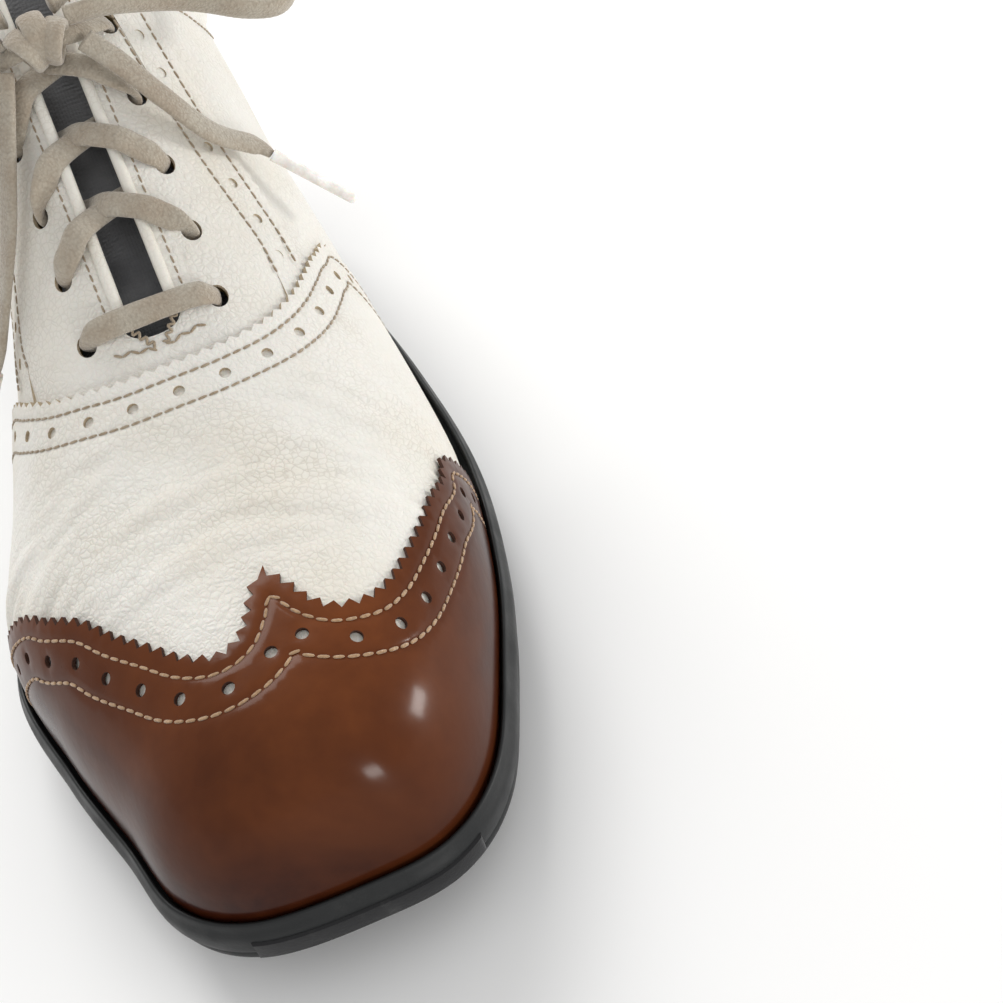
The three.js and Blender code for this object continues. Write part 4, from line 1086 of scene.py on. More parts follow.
throat = throat_line()
edge_right = pinked(facing_lines[1], 3.0, -1.0)
edge_left = pinked(facing_lines[-1], 3.0, 1.0)
top_right = between(tops[1], facing_lines[1][-1], throat[-1])
top_left = between(tops[-1], throat[0], facing_lines[-1][-1])
low_line = front[::-1] if front[0, 0] > front[-1, 0] else front
low_line = low_line[(low_line[:, 0] > facing_lines[-1][0, 0]) & (low_line[:, 0] < facing_lines[1][0, 0])]
facing_boundary = np.vstack([
    low_line, edge_right, top_right, throat[::-1], top_left, edge_left[::-1],
])
shell(
    "facing_leather", facing_boundary, facing_top, lambda f: facing_top(f) - LAYER_THICKNESS,
    [LEATHER, LEATHER_EDGE], ("facing_outer", "facing_inner"),
    [ring(p, 2.45, 18, 0.9) for _, _, p in eyelets]
    + [h for side in (1, -1) for h in holes_along(facing_rows[side, BAND_HOLES], 9.6)],
    ribs_beside([facing_rows[s, d] for s in (1, -1) for d in BAND_STITCHES]), 1.35,
)
for side in (1, -1):
    for d in BAND_STITCHES:
        vamp_sewing.row(facing_rows[side, d], LAYER_TOP - 0.2, 2.3)

# ---------------------------------------------------------------- quarters
for side, name in ((1, "outer"), (-1, "inner")):
    behind = beside(facing_fine[side], side * 9.0)
    behind = behind[nearest(behind, vamp_fine) > 0.5]
    lower = front[front[:, 0] * side > abs(behind[0, 0]) - 1.0]
    lower = lower[np.argsort(-np.abs(lower[:, 0]))]
    top_part = between(tops[side], behind[-1], tops[side][0])
    back = feather(136.9, VAMP_ENDS[side] - 3.5, side, 1.0, 90)
    boundary = np.vstack([behind, top_part, back, lower])
    shell(
        f"quarter_{name}_leather", boundary, quarter_top, lambda f: quarter_top(f) - LAYER_THICKNESS,
        [LEATHER, LEATHER_EDGE], (f"quarter_{name}",), (), (), 1.7,
    )
    vamp_sewing.row(clean_offset(top_part, -4.0 if side > 0 else 4.0), lambda f: quarter_top(f) + 0.02, 2.3)

vamp_sewing.make("upper_stitches", WHITE_THREAD)


# ---------------------------------------------------------------- heel
heel_top = {side: level_line(side, heel_cap_height) for side in (1, -1)}
heel_half = {side: soften(resample(heel_top[side], spacing=1.0), 4) for side in (1, -1)}
heel_line = np.vstack([heel_half[1][::-1], heel_half[-1][1:]])
heel_edge = pinked(heel_line, 3.2, 1.4)
heel_start = {side: float(look_up(LAST, heel_top[side][-1:])[0, 1]) for side in (1, -1)}
heel_rows = {d: clean_offset(heel_line, d) for d in (-2.7, -6.3, -10.1)}


def heel_cap_top(flat):
    return CAP_TOP - groove(flat, [heel_rows[-2.7], heel_rows[-10.1]], 0.3)


shell(
    "heel_cap_leather",
    np.vstack([
        heel_edge, feather(heel_start[-1], 137, -1, 1.0, 70), feather(137, heel_start[1], 1, 1.0, 70),
    ]),
    heel_cap_top, CAP_UNDER, [PATENT, PATENT_EDGE], ("heel_cap",),
    holes_along(heel_rows[-6.3], 9.4), ribs_beside([heel_rows[-2.7], heel_rows[-10.1]]), 1.8,
)
heel_sewing = Stitches()
for d in (-2.7, -10.1):
    heel_sewing.row(heel_rows[d], CAP_TOP - 0.2, 2.5, radius=0.34)

STAY_HALF = 24.0  # flat half width; the flat sheet is stretched at the back of the heel
STAY_SEAM = 7.0
at_back = {side: line[(np.abs(line[:, 0]) < STAY_HALF) & (line[:, 1] > 150)] for side, line in tops.items()}
stay_top = np.vstack([at_back[1][::-1], at_back[-1]])


def heel_back(x):
    """Flat height of the heel cap's edge at the back."""
    order = np.argsort(heel_line[:, 0])
    return float(np.interp(x, heel_line[order, 0], heel_line[order, 1]))


cap_at_back = heel_back(STAY_HALF) - 1.5
stay_low = np.array([[x, heel_back(x) - 1.5] for x in np.linspace(-STAY_HALF, STAY_HALF, 24)[1:-1]])
stay_side, stay_rows = {}, []
for s, top_end in ((1, stay_top[0, 1]), (-1, stay_top[-1, 1])):
    stay_side[s] = np.array([[s * STAY_HALF, y] for y in np.linspace(top_end, cap_at_back, 26)])
    heights = np.linspace(stay_top[0, 1] + 1.5, cap_at_back - 1.5, 30)
    stay_rows.append(np.stack([np.full(30, s * (STAY_HALF - STAY_SEAM)), heights], axis=1))
stay_boundary = np.vstack([
    stay_top, pinked(stay_side[-1], 3.0, -1.0)[1:], stay_low, pinked(stay_side[1], 3.0, 1.0)[::-1][:-1],
])
shell(
    "back_stay_leather", stay_boundary, lambda f: CAP_TOP - 0.1 - groove(f, stay_rows, 0.3), CAP_UNDER,
    [PATENT, PATENT_EDGE], ("back_stay",), (), ribs_beside(stay_rows), 1.5,
)
for row in stay_rows:
    heel_sewing.row(row, CAP_TOP - 0.28, 2.4, radius=0.32)
heel_sewing.make("heel_stitches", BEIGE_THREAD)

# ---------------------------------------------------------------- lining and stiffeners
LINING_TOP, LINING_UNDER = -3.2, -4.0
STIFF_TOP, STIFF_UNDER = -1.9, -2.8
RING_EDGE = 18.4
LINING_JOIN = -20.0
QUARTER_LINING_FRONT = -19.6
ACROSS = np.linspace(-46, 46, 50)


def lining(name, boundary, holes, spacing):
    shell(
        f"{name}_cloth", boundary, LINING_TOP, LINING_UNDER, [LINING, LINING], (name,),
        holes, (), spacing,
    )


slot_line = from_plan([[-RING_EDGE, y] for y in np.linspace(50, THROAT_FRONT, 24)]
                      + [[u, THROAT_FRONT] for u in np.linspace(-RING_EDGE + 2, RING_EDGE - 2, 14)]
                      + [[RING_EDGE, y] for y in np.linspace(THROAT_FRONT, 50, 24)])
slot_line = slot_line[inside_polygon(slot_line, whole)]
rim_right = between(tops[1], tops[1][0], slot_line[-1])
rim_left = between(tops[-1], slot_line[0], tops[-1][0])
lining("quarter_lining", np.vstack([
    from_plan([[u, QUARTER_LINING_FRONT] for u in ACROSS]), feather(QUARTER_LINING_FRONT, 137, 1, 0, 120),
    feather(137, QUARTER_LINING_FRONT, -1, 0, 120),
]), [np.vstack([slot_line, rim_right[::-1], rim_left[::-1]])], 3.0)
lining("vamp_lining", np.vstack([
    from_plan([[u, LINING_JOIN] for u in ACROSS]), feather(LINING_JOIN, TOE_END, 1, 0, 90),
    feather(TOE_END, LINING_JOIN, -1, 0, 90),
]), (), 3.2)


def heel_band(name, lower, upper, first, material, replaced, padded=None):
    """A band round the heel between two heights, from the station where it starts on each side."""
    lines = {}
    for side in (1, -1):
        for key, heights in (("low", lower), ("high", upper)):
            if heights is None:
                line = feather(137, first, side, 0, 90)
            else:
                line = level_line(side, lambda y: np.interp(y, *heights))
            places = on_last(line)
            lines[side, key] = resample(line[places[:, 1] >= first], spacing=2.0)
    boundary = np.vstack([
        lines[1, "high"][::-1], lines[-1, "high"][1:], lines[-1, "low"][::-1], lines[1, "low"][1:]
    ])
    top, under = padded or (STIFF_TOP, STIFF_UNDER)
    return shell(name, boundary, top, under, [material, material], replaced, (), (), 3.0)


COUNTER_TOP = ([88, 96, 137], [50, 64, 69])
FOAM_LOW = ([60, 80, 95, 110, 137], [75, 71, 70, 73.5, 74])
FOAM_HIGH = (TOPLINE[:, 0], TOPLINE[:, 1] - 0.6)
heel_band("heel_counter_board", None, COUNTER_TOP, 90, BOARD, ("heel_counter",))
foam = heel_band("collar_foam_pad", FOAM_LOW, FOAM_HIGH, 66, FOAM, ("collar_foam",))
PUFF_BACK = -76.0
toe_cross = from_plan([[x, PUFF_BACK] for x in ACROSS])
shell(
    "toe_puff_board",
    np.vstack([toe_cross, feather(PUFF_BACK, TOE_END, 1, 0, 70), feather(TOE_END, PUFF_BACK, -1, 0, 70)]),
    STIFF_TOP, STIFF_UNDER, [BOARD, BOARD], ("toe_puff",), (), (), 3.0,
)

# ---------------------------------------------------------------- tongue
TONGUE_DROP, TONGUE_THICKNESS = 3.8, 2.2
TONGUE_PLAN = [
    [-20, -44], [-21, -10], [-20, 20], [-19, 45], [-17, 56], [-12, 61], [12, 61], [17, 56], [19, 45],
    [20, 20], [21, -10], [20, -44],
]


def tongue_top(flat):
    station = on_last(flat)[:, 1]
    return -4.4 - TONGUE_DROP * fade(-station, 22, 40) + 0.0 * station


def tongue_outline():
    corners = resample(np.array(TONGUE_PLAN + TONGUE_PLAN[:1], float), spacing=3.0)[:-1]
    height = np.interp(corners[:, 1], [-60, 0, 25, 70], [30, 52, 66, 96])
    flat = from_plan(corners)
    return flat[on_last(flat)[:, 2] > height - 3]


def below_tongue(drop):
    return lambda f: tongue_top(f) - TONGUE_THICKNESS - drop


shell(
    "tongue_cloth", tongue_outline(), tongue_top, below_tongue(0), [LINING, LINING],
    ("tongue",), (), (), 2.2,
)
shell(
    "tongue_lining_cloth", tongue_outline(), below_tongue(0.4), below_tongue(1.2), [LINING, LINING],
    ("tongue_lining",), (), (), 3.0,
)


# ---------------------------------------------------------------- round and flat cords
def frames(route, side_hint):
    """Flat-side normal and width direction along a route, turning as little as possible."""
    t = tangents(route)
    hints = np.broadcast_to(side_hint, route.shape)
    across = np.empty_like(route)
    last = hints[0] - t[0] * hints[0].dot(t[0])
    last /= np.linalg.norm(last)
    for i in range(len(route)):
        carried = last - t[i] * last.dot(t[i])
        carried /= np.linalg.norm(carried)
        wish = hints[i] - t[i] * hints[i].dot(t[i])
        length = np.linalg.norm(wish)
        if length > 0.05:
            wish = wish / length * (1 if wish.dot(carried) > 0 else -1)
            carried = carried + 0.12 * length * wish
            carried /= np.linalg.norm(carried)
        across[i] = last = carried
    return np.cross(t, across), across


def sweep(name, route, across_hint, width, thickness, material, sides=24, braid=0.1, taper=None, power=0.75):
    """A cord of rounded flat section along a route, with the chevrons of its braid."""
    up, across = frames(route, across_hint)
    angle = 2 * math.pi * np.arange(sides) / sides
    c, s = np.cos(angle), np.sin(angle)
    x = np.sign(c) * np.abs(c) ** power / 2
    y = np.sign(s) * np.abs(s) ** 0.9 / 2
    arc = arc_of(route)
    sizes = np.ones(len(route)) if taper is None else taper(arc / arc[-1])
    wander = np.array([noise.noise(Vector((a * 0.12, 3.0, len(name)))) for a in arc])
    points = []
    for i, p in enumerate(route):
        u = x * width
        weave = np.sin(2 * math.pi * (arc[i] / 1.5 + np.abs(u) / 1.7)) * np.cos(2 * math.pi * u / 1.25)
        swell_here = 1 + 0.05 * wander[i]
        bulge = 1 + braid * weave / thickness
        wide, high = u * swell_here, y * thickness * bulge
        points.append(p + sizes[i] * (across[i] * wide[:, None] + up[i] * high[:, None]))
    n = len(route)
    faces = ring_walls(n, sides)
    faces.append(list(range(sides))[::-1])
    faces.append([(n - 1) * sides + k for k in range(sides)])
    return mesh_object(name, world(np.concatenate(points)), faces, [material])


def rounded(points, spacing):
    return resample(smooth_curve(points, 16), spacing=spacing)


def on(x, y, offset):
    return on_last(from_plan([[x, y]]), offset)[0]


# ---------------------------------------------------------------- piping and collar
for side, name in ((1, "outer"), (-1, "inner")):
    places = [[side * (THROAT_HALF - 0.9), y] for y in np.linspace(THROAT_FRONT + 4.2, 47.5, 14)]
    flat = from_plan(places)
    route = rounded(on_last(flat, facing_top(flat) - 0.1), 0.6)
    piece = sweep(f"piping_{name}_roll", route, (side, 0, 0), 2.5, 2.3, PIPING, 16, 0.0, None, 1.0)
    finish_piece(piece, (f"piping_{name}",))

COLLAR_RADIUS = 2.6
collar_flat = np.vstack([
    between(tops[1], tops[1][0], tops[1][np.argmax(on_last(tops[1])[:, 1] < 60)])[::-1],
    between(tops[-1], tops[-1][0], tops[-1][np.argmax(on_last(tops[-1])[:, 1] < 60)])[1:],
])
collar_line = soften(resample(collar_flat, spacing=1.5), 5)
edge_points = on_last(collar_line, -1.6)
up_way = np.cross(normals_at(collar_line), tangents(edge_points))
up_way *= np.sign(up_way[:, 2:])
up_way /= np.linalg.norm(up_way, axis=1)[:, None]
collar_route = resample(soften(edge_points + up_way * 1.5, 3), spacing=1.6)
collar = sweep(
    "collar_roll_leather", collar_route, (0, 0, 1), 2 * COLLAR_RADIUS + 0.8, 2 * COLLAR_RADIUS - 0.2, LEATHER,
    20, 0.0,
    lambda f: 0.62 + 0.38 * np.clip(np.minimum(f, 1 - f) / 0.05, 0, 1) ** 0.5, 1.0,
)
finish_piece(collar, ("collar_roll",))

# ---------------------------------------------------------------- lace
LACE_WIDTH, LACE_THICKNESS = 5.2, 2.1
LACE_STEP = 0.55
OVER, UNDER = 0.75, -5.0


def laced_half(start, high_first):
    """One half of the lace, from the bar at the bottom row up through every row to the knot."""
    route = []

    def put(x, y, offset):
        route.append(on(x, y, offset))

    def row_y(row):
        return FIRST_EYELET + EYELET_PITCH * row

    side = start
    put(side * 8, row_y(0), OVER + 0.5)
    put(side * 12.0, row_y(0), OVER - 0.1)
    put(side * EYELET_X, row_y(0) + 0.2, -1.6)
    put(side * EYELET_X, row_y(0) + 0.6, -3.4)
    put(side * EYELET_X, row_y(0) + 3.0, UNDER)
    put(side * EYELET_X, row_y(1) - 3.0, UNDER)
    put(side * EYELET_X, row_y(1) - 0.6, -3.4)
    for row in range(1, EYELET_ROWS):
        y = row_y(row)
        put(side * EYELET_X, y, -1.4)
        if row == EYELET_ROWS - 1:
            put(side * 12.4, y - 0.6, OVER + 0.1)
            put(side * 9.6, y - 1.9, OVER + 1.6)
            put(side * 5.6, y - 4.2, OVER + 4.0)
            put(side * 1.5, y - 4.8, OVER + 5.0)
            break
        put(side * 12.2, y + 0.7, OVER)
        put(side * 9, y + 2.2, OVER + 0.9)
        put(side * 6.0, y + 3.8, OVER + 1.2)
        level = -0.4 if (row % 2 == 0) == high_first else -2.4
        put(0, y + EYELET_PITCH * 0.5, level)
        put(-side * 5.6, y + EYELET_PITCH - 4.0, -4.9)
        put(-side * 9.5, y + EYELET_PITCH - 2.4, UNDER - 0.3)
        put(-side * 12.8, y + EYELET_PITCH - 0.8, -4.2)
        side = -side
    return route


lace_places = laced_half(-1, True)[::-1] + laced_half(1, False)
lace_route = rounded(lace_places, LACE_STEP)
holes_in_space = np.array([
    on(s * EYELET_X, FIRST_EYELET + EYELET_PITCH * r, -1.0) for s in (1, -1) for r in range(EYELET_ROWS)
])


def lace_sizes(route):
    """The lace bunches up where it goes through an eyelet."""
    d = nearest(route, holes_in_space)
    return 1 - 0.26 * fade(d, 1.0, 4.5)


lace_tangent = tangents(lace_route)
lace_hint = np.cross(np.array([0.0, -0.55, 0.83]) + 0 * lace_tangent, lace_tangent)
lace_size = lace_sizes(lace_route)
lace = sweep(
    "lace_crossed", lace_route, lace_hint, LACE_WIDTH, LACE_THICKNESS, LACE, 26, 0.16,
    lambda f: np.interp(f, np.linspace(0, 1, len(lace_size)), lace_size),
)
finish_piece(lace, ("lace",))

KNOT = on(0, 33, 6.2)
LOOP_ROUTES = {
    "lace_loop_outer": [
        [6.4, 1.2, 2.0], [16, 1.3, 1.0], [30, 4, -4.5], [41, 3.2, -10], [48.5, 4.5, -12.5],
        [52.5, 9, -11.5], [50, 13.8, -8], [42, 15.5, -3], [32, 14.5, 2], [18, 10.5, 7], [4.6, 3.4, 4.2],
    ],
    "lace_loop_inner": [
        [-6.9, 1.0, 1.6], [-16, -0.5, -1.5], [-28, -5.5, -9.5], [-36, -10, -19], [-41, -10.5, -26],
        [-44, -6, -27.5], [-42, -0.5, -21], [-37, 3.5, -12.5], [-29, 6.5, -3.5], [-18, 8, 5],
        [-4.9, 3.7, 4.6],
    ],
}
END_ROUTES = {
    "lace_end_outer": [[6.9, 31.2, 6.2], [11, 27, 5.9], [16, 22, 5.0], [23, 18.5, 3.2], [30, 20.5, 3.4]],
    "lace_end_inner": [[-6.9, 31.2, 6.0], [-11, 24, 4.6], [-18, 14, 3.2], [-26, 7, 2.6], [-31, 4, 2.6]],
}
AGLET_HEADINGS = {"lace_end_outer": (0.66, -0.42, -0.62), "lace_end_inner": (-0.55, -0.1, -0.82)}
AGLET_LENGTH, AGLET_LEAD = 20.0, 4.0
LOOP_ACROSS = {"lace_loop_outer": (0.0, 0.45, -0.9), "lace_loop_inner": (-0.55, 0.35, -0.75)}


def lace_tip(f):
    """A lace end narrows over its last tenth, into its aglet."""
    return 1 - 0.45 * np.clip((f - 0.9) / 0.1, 0, 1)


def aglet_size(f):
    """An aglet tapers, with a small rim at its start and a rounded tip."""
    rim = 0.05 * np.exp(-((f - 0.04) / 0.02) ** 2)
    return 1 - 0.16 * f - 0.3 * np.clip((f - 0.95) / 0.05, 0, 1) ** 2 + rim


for name, places in LOOP_ROUTES.items():
    route = rounded(np.array(places) + KNOT, LACE_STEP)
    piece = sweep(f"{name}_flat", route, LOOP_ACROSS[name], LACE_WIDTH, LACE_THICKNESS, LACE, 24, 0.16)
    finish_piece(piece, (name,))

for name, places in END_ROUTES.items():
    heading = np.array(AGLET_HEADINGS[name])
    heading /= np.linalg.norm(heading)
    points = [on(*p) for p in places]
    points.append(points[-1] + heading * AGLET_LEAD)
    route = rounded(points, LACE_STEP)
    normals = normals_at(from_plan(route[:, :2]))
    hint = np.cross(normals, tangents(route))
    piece = sweep(f"{name}_flat", route, hint, LACE_WIDTH, LACE_THICKNESS, LACE, 24, 0.16, lace_tip)
    finish_piece(piece, (name,))
    start = route[-1] + heading * 0.2
    shaft = np.array([start + heading * d for d in np.linspace(0, AGLET_LENGTH, 40)])
    aglet = sweep(
        name.replace("lace_end", "aglet") + "_sleeve", shaft, hint[-1], 3.3, 2.5, AGLET, 20, 0.0,
        aglet_size, 0.9,
    )
    finish_piece(aglet, (name.replace("lace_end", "aglet"),))


def make_knot():
    """Two wraps of the flat lace round a bunched core."""
    parts = []
    a = np.linspace(0, 2 * math.pi, 60)[:-1]
    wraps = [
        (0.12, 0.0, 4.4, 4.1, 0.4, 5.4),
        (-0.5, 3.1, 3.9, 3.6, 0.9, 4.6),
        (0.55, -3.2, 3.8, 3.6, -0.7, 4.6),
    ]
    for turn, shift, high, deep, lean, wide in wraps:
        ring_points = np.stack([shift + lean * np.sin(a), deep * np.cos(a), high * np.sin(a)], axis=1)
        ca, sa = math.cos(turn), math.sin(turn)
        spin = np.array([[ca, -sa, 0], [sa, ca, 0], [0, 0, 1]])
        lay = np.array([[1, 0, 0], [0, math.cos(0.6), -math.sin(0.6)], [0, math.sin(0.6), math.cos(0.6)]])
        route = ring_points @ spin.T @ lay.T + KNOT
        route = np.vstack([route, route[:3]])
        hint = spin @ np.array([1.0, 0, 0])
        parts.append(sweep(f"knot_part_{len(parts)}", route, hint, wide, LACE_THICKNESS, LACE, 24, 0.16))
    return join(parts, "bow_knot_wraps")


def join(parts, name):
    """Several meshes as one object."""
    first = parts[0]
    points, faces = [], []
    start = 0
    for part in parts:
        n = len(part.data.vertices)
        co = np.empty(3 * n, np.float32)
        part.data.vertices.foreach_get("co", co)
        points.append(co.reshape(-1, 3).astype(float))
        faces += [[start + i for i in p.vertices] for p in part.data.polygons]
        start += n
    material = first.data.materials[0]
    for part in parts:
        bpy.data.objects.remove(part)
    return mesh_object(name, np.concatenate(points), faces, [material])


knot = make_knot()
finish_piece(knot, ("bow_knot",))

# ---------------------------------------------------------------- bartack at the foot of the throat
bartack = Stitches()


def tack(x0, y0, x1, y1, count, zigzag=0.0, radius=0.3):
    path = np.stack([np.linspace(x0, x1, count + 1), np.linspace(y0, y1, count + 1)], axis=1)
    way = np.array([y1 - y0, x0 - x1])
    way = way / np.linalg.norm(way)
    path += way * zigzag * ((np.arange(count + 1) % 2) * 2 - 1)[:, None]
    flat = from_plan(path)
    at, up = on_last(flat, facing_top(flat) + 0.05), normals_at(flat)
    for i in range(count):
        bartack.add(at[i], at[i + 1], up[i], radius, 0.1)


for s in (1, -1):
    tack(s * 5.6, THROAT_FRONT + 3.4, s * 1.0, THROAT_FRONT - 2.2, 9, 0.7)
    tack(s * 9.6, THROAT_FRONT - 0.8, s * 1.0, THROAT_FRONT - 2.6, 5, 0.35)
    row = from_plan([[s * (THROAT_HALF + 1.9), y] for y in np.linspace(THROAT_FRONT + 3, 46, 40)])
    bartack.row(row, facing_top, 2.3, radius=0.26, lift=-0.02)
bartack.make("throat_stitches", WHITE_THREAD)


# ---------------------------------------------------------------- sole
def sole_ring(outset, height, count=420):
    """A ring round the sole at an outset from the feather line; height is a function of the station."""
    v = np.arange(count) / count
    o = outline_point(v)
    t = outline_point(v + 1e-3) - outline_point(v - 1e-3)
    t /= np.linalg.norm(t, axis=1)[:, None]
    p = o + np.stack([-t[:, 1], t[:, 0]], axis=1) * outset
    return np.column_stack([p, height(p[:, 1])])


def slab(name, rings, top, bottom, material, replaced):
    """A closed slab from stacked rings, with its two faces filled in at the heights top and bottom."""
    points = list(rings)
    n = len(rings[0])
    faces = ring_walls(len(rings), n, flip=True)
    start = n * len(rings)
    last = n * (len(rings) - 1)
    for ring_points, height, first, flip in ((rings[0], bottom, 0, False), (rings[-1], top, last, True)):
        flat, triangles = triangulate(ring_points[:, :2], [], [], 7.0)
        inner = flat[n:]
        points.append(np.column_stack([inner, height(inner[:, 1])]))
        index = np.concatenate([first + np.arange(n), start + np.arange(len(inner))])
        triangles = index[triangles]
        faces += list(triangles if flip else triangles[:, ::-1])
        start += len(inner)
    piece = mesh_object(name, world(np.concatenate(points)), faces, [material])
    return finish_piece(piece, replaced)


def feather_height(y):
    return along(FEATHER_HEIGHT, y)


def level(rise):
    """A height function that follows the feather line."""
    return lambda y: feather_height(y) + rise


def plain(height):
    """A height function that is the same everywhere."""
    return lambda y: 0 * y + height


RAND_PROFILE = [
    (1.6, -6.0), (2.6, -6.0), (3.3, -5.7), (3.55, -5.0), (3.75, -3.4), (3.8, -1.9), (3.7, -0.9), (3.45, -0.2),
    (3.1, 0.5), (2.75, 1.3), (2.55, 2.1), (2.3, 2.45), (1.95, 2.5), (1.7, 2.35), (1.5, 1.9), (1.45, 0.6),
    (1.45, -0.45),
]
slab(
    "sole_rand", [sole_ring(d, level(h)) for d, h in RAND_PROFILE], level(-0.5), level(-6.0), RUBBER,
    ("midsole",),
)

HEEL_FRONT = 60.0
CLEATS = [[-19, -82], [23, -80], [-36, -48], [34, -44], [0, -30], [-17, 96], [18, 97]]
POCKET_RADIUS, POCKET_TOP, TREAD_LOW = 8.4, 9.8, 5.0
TREAD_STATIONS = [-138, -120, -98, -75, -20, 5, 30, 52, 60, 137]
TREAD_HEIGHT = [13, 10.5, 6.6, 5, 5, 8, 11.5, 11.5, 11, 11]


def tread(y):
    return np.maximum(TREAD_LOW, along(TREAD_HEIGHT, y, TREAD_STATIONS))


def sole_part(outset, height, front):
    """Ring round the forepart or the heel part of the sole, closed straight across at the heel front."""
    half_count = 150
    cut = {
        side: float(np.interp(-HEEL_FRONT, -HALVES[side].outline[:, 1], HALVES[side].q)) for side in (1, -1)
    }
    reach = {1: TOE_PARAMETER, -1: 1 - TOE_PARAMETER}
    if front:
        v = np.concatenate([np.linspace(cut[1], 1, half_count) * reach[1],
                            -np.linspace(1, cut[-1], half_count)[1:] * reach[-1]])
    else:
        v = np.concatenate([-np.linspace(cut[-1], 0, half_count) * reach[-1],
                            np.linspace(0, cut[1], half_count)[1:] * reach[1]])
    o = outline_point(v)
    t = outline_point(v + 1e-3) - outline_point(v - 1e-3)
    t /= np.linalg.norm(t, axis=1)[:, None]
    p = o + np.stack([-t[:, 1], t[:, 0]], axis=1) * outset
    p[[0, -1], 1] = HEEL_FRONT - (0.4 if front else 0.0)
    across = np.linspace(p[-1], p[0], 26)[1:-1]
    p = np.vstack([p, across])
    return np.column_stack([p, height(p[:, 1])])


def circle(x, y, radius, sides=32):
    a = 2 * math.pi * np.arange(sides) / sides
    return np.column_stack([x + radius * np.cos(a), y + radius * np.sin(a)])


def tread_slab(name, rings, top, bottom, material, replaced, pockets):
    """A slab like slab(), with round pockets sunk into its underside."""
    points = list(rings)
    n = len(rings[0])
    faces = ring_walls(len(rings), n, flip=True)
    start = n * len(rings)

    def fill(loop_start, loop, height, flip, holes=()):
        nonlocal start
        flat, triangles = triangulate(loop, list(holes), [], 6.0)
        count = len(loop)
        index = np.concatenate([loop_start + np.arange(count), start + np.arange(len(flat) - count)])
        points.append(np.column_stack([flat[count:], height(flat[count:, 1])]))
        start += len(flat) - count
        triangles = index[triangles]
        faces.extend(list(triangles if flip else triangles[:, ::-1]))
        return index[count:count + sum(len(h) for h in holes)]

    holes = [circle(x, y, POCKET_RADIUS) for x, y in pockets]
    rims = fill(0, rings[0][:, :2], bottom, False, holes)
    fill(n * (len(rings) - 1), rings[-1][:, :2], top, True)
    for k, hole in enumerate(holes):
        rim = rims[k * len(hole):(k + 1) * len(hole)]
        ceiling = np.column_stack([hole, np.full(len(hole), POCKET_TOP)])
        points.append(ceiling)
        m, first = len(hole), start
        start += m
        for j in range(m):
            faces.append([rim[j], rim[(j + 1) % m], first + (j + 1) % m, first + j])
        faces.append([first + j for j in range(m)][::-1])
    piece = mesh_object(name, world(np.concatenate(points)), faces, [material])
    sharp_by_angle(piece, 35)
    return finish_piece(piece, replaced)


def sharp_by_angle(piece, degrees):
    """Edges steeper than the angle stay crisp."""
    work = bmesh.new()
    work.from_mesh(piece.data)
    bmesh.ops.recalc_face_normals(work, faces=work.faces)
    for edge in work.edges:
        if len(edge.link_faces) == 2:
            edge.smooth = edge.calc_face_angle(0) < math.radians(degrees)
    work.to_mesh(piece.data)
    work.free()


SOLE_OUTSET = 2.6  # of the tread and the heel, from the feather line
tread_slab(
    "outsole_tread",
    [sole_part(SOLE_OUTSET + d, lambda y, h=h: tread(y) + h, True)
     for d, h in ((-1.0, 0.0), (-0.35, 0.15), (0.0, 0.7))]
    + [sole_part(SOLE_OUTSET + d, level(h), True) for d, h in ((0.25, -8.2), (0.25, -7.3), (-0.1, -6.4))],
    level(-6.4), tread, RUBBER, ("outsole",), [c for c in CLEATS if c[1] < HEEL_FRONT],
)
tread_slab(
    "heel_block_rubber",
    [sole_part(SOLE_OUTSET + d, plain(h), False) for d, h in ((-0.7, 11.4), (-0.1, 11.6), (0.1, 12.2))]
    + [sole_part(SOLE_OUTSET + d, level(h), False) for d, h in ((0.25, -8.0), (0.25, -7.2), (-0.1, -6.4))],
    level(-6.4), plain(11.4), RUBBER, ("heel_block",), [],
)
tread_slab(
    "heel_lift_rubber",
    [sole_part(SOLE_OUTSET - 0.2 + d, plain(h), False)
     for d, h in ((-1.0, 5.0), (-0.3, 5.15), (0.0, 5.7), (0.05, 10.4), (-0.25, 10.85), (-0.8, 11.0))],
    plain(11.0), plain(5.0), RUBBER, ("heel_lift",), [c for c in CLEATS if c[1] > HEEL_FRONT],
)

# Small nubs between the cleats.
nub_points, nub_faces = [], []
edge = sole_ring(-3.5, plain(0), 160)[:, :2]
for x in np.arange(-44, 45, 8.0):
    for row, y in enumerate(np.arange(-106, 20, 7.0)):
        px = x + (row % 2) * 4.0
        near = min(math.hypot(px - cx, y - cy) for cx, cy in CLEATS)
        if near < 13.0 or not inside_polygon(np.array([[px, y]]), edge)[0]:
            continue
        base = float(tread(np.array([y]))[0])
        tall = min(1.9, base - 0.6)
        start = len(nub_points)
        for radius, z in ((2.3, base + 0.4), (2.2, base - 0.2), (1.5, base - tall + 0.3), (1.1, base - tall)):
            nub_points += [(*point, z) for point in circle(px, y, radius, 12)]
        nub_faces += ring_walls(4, 12, start, flip=True)
        nub_faces.append([start + k for k in range(12)])
        nub_faces.append([start + 36 + k for k in range(12)][::-1])
nubs = mesh_object("tread_nubs", world(nub_points), nub_faces, [RUBBER])
sharp_by_angle(nubs, 50)
finish_piece(nubs)

# Glossy panel let into the front of the rand.
INSERT_HALF, INSERT_LOW, INSERT_HIGH = 22.0, 14.2, 19.0


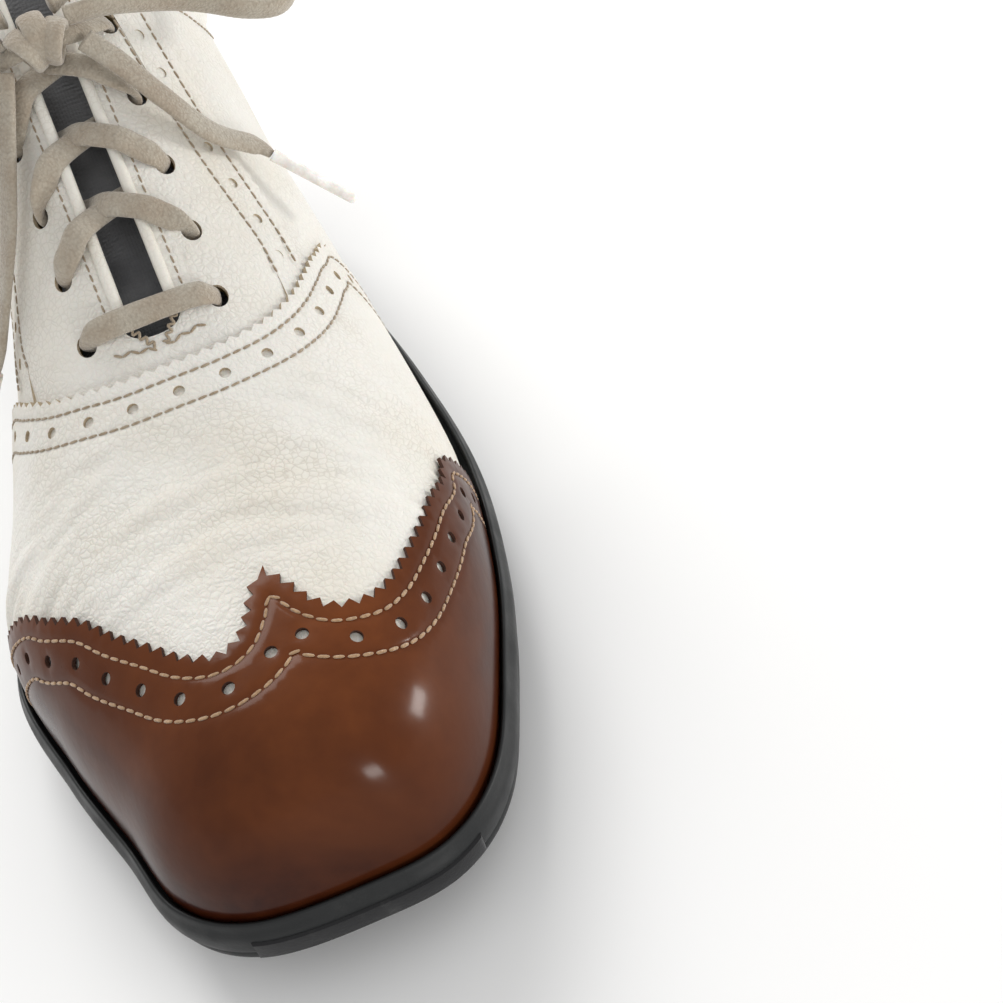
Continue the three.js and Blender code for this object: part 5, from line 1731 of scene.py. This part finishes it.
def insert_ring(outset, shrink):
    o = sole_ring(outset, plain(0), 1600)[:, :2]
    run = o[(np.abs(o[:, 0]) < INSERT_HALF - shrink) & (o[:, 1] < -100)]
    run = resample(run[np.argsort(run[:, 0])], count=48)
    low = np.column_stack([run, np.full(48, INSERT_LOW + shrink)])
    high = np.column_stack([run[::-1], np.full(48, INSERT_HIGH - shrink)])
    return np.vstack([low, high])


insert_rings = [insert_ring(2.2, 0.0), insert_ring(4.0, 0.0), insert_ring(4.35, 0.25), insert_ring(4.4, 0.7)]
insert_faces = ring_walls(4, 96)
for first, flip in ((0, True), (3 * 96, False)):
    for k in range(47):
        quad = [first + k, first + k + 1, first + 94 - k, first + 95 - k]
        insert_faces.append(quad[::-1] if flip else quad)
insert = mesh_object("toe_insert_panel", world(np.vstack(insert_rings)), insert_faces, [RUBBER_GLOSS])
sharp_by_angle(insert, 40)
finish_piece(insert, ("toe_insert",))

# Insole and footbed, seen through the mouth.
for name, inset, low, high, material, slot_name in (
    ("insole_board", -4.8, -0.1, 1.8, BOARD, "stiffener_board"),
    ("footbed", -5.8, 2.2, 5.8, LINING, "grey_lining"),
):
    profile = [(inset - 0.8, low), (inset, low + 0.4), (inset, high - 0.5), (inset - 0.6, high)]
    rings = [sole_ring(d, level(h), 240) for d, h in profile]
    slab(f"{name}_sheet", rings, level(high), level(low), material, (name,))

# ---------------------------------------------------------------- carried-over parts
KEPT = {"shank": STEEL}
for node, piece in frame["nodes"].items():
    if piece.hide_render:
        continue
    material = KEPT.get(node)
    if node.startswith("cleat"):
        material = CLEAT
    elif node.startswith("receptacle"):
        material = RECEPTACLE
    elif node.startswith("eyelet"):
        material = BRASS
    if material is None:
        print("no material for", node)
        continue
    piece.data.materials.clear()
    piece.data.materials.append(material)
    bevel = piece.modifiers.new("edges", "BEVEL")
    bevel.width = 0.0005 if node in KEPT else 0.00025
    bevel.segments = 2
    bevel.limit_method = "ANGLE"
    bevel.angle_limit = math.radians(40)


# ---------------------------------------------------------------- floor and light
FLOOR_HALF = 6.0  # metres


def make_stage():
    mesh = bpy.data.meshes.new("floor")
    r = FLOOR_HALF
    mesh.from_pydata([(-r, -r, 0), (r, -r, 0), (r, r, 0), (-r, r, 0)], [], [(0, 1, 2, 3)])
    floor = bpy.data.objects.new("floor", mesh)
    bpy.context.scene.collection.objects.link(floor)
    look = Look("floor")
    look.set(Base_Color=look.mix(look.noise(6, 3.0), (0.93, 0.93, 0.93), (0.95, 0.95, 0.945)), Roughness=0.8)
    mesh.materials.append(look.material)


def area_light(name, place, target, size, power, colour=(1, 1, 1)):
    data = bpy.data.lights.new(name, "AREA")
    data.shape = "RECTANGLE"
    data.size, data.size_y = size
    data.energy = power
    data.color = colour
    lamp = bpy.data.objects.new(name, data)
    lamp.location = place
    lamp.rotation_euler = (Vector(target) - Vector(place)).to_track_quat("-Z", "Y").to_euler()
    bpy.context.scene.collection.objects.link(lamp)


LIGHTS = [
    # name, place, target, size (m), power (W), colour
    ("window", (1.2, -0.22, 0.11), (0, -0.08, 0.04), (0.26, 0.16), 4.5, (1.0, 0.985, 0.96)),
    ("door", (0.42, -1.25, 0.10), (0, -0.1, 0.03), (0.26, 0.14), 3, (1.0, 0.99, 0.97)),
    ("ceiling", (-0.2, 1.45, 1.4), (0, 0, 0), (1.1, 1.0), 24, (1.0, 0.99, 0.97)),
]
SKY_STRENGTH = 0.72
make_stage()
for light in LIGHTS:
    area_light(*light)
sky = bpy.data.worlds.new("sky")
sky.use_nodes = True
sky.node_tree.nodes["Background"].inputs["Color"].default_value = (1, 1, 1, 1)
sky.node_tree.nodes["Background"].inputs["Strength"].default_value = SKY_STRENGTH
bpy.context.scene.world = sky
bpy.context.scene.view_settings.view_transform = "Standard"
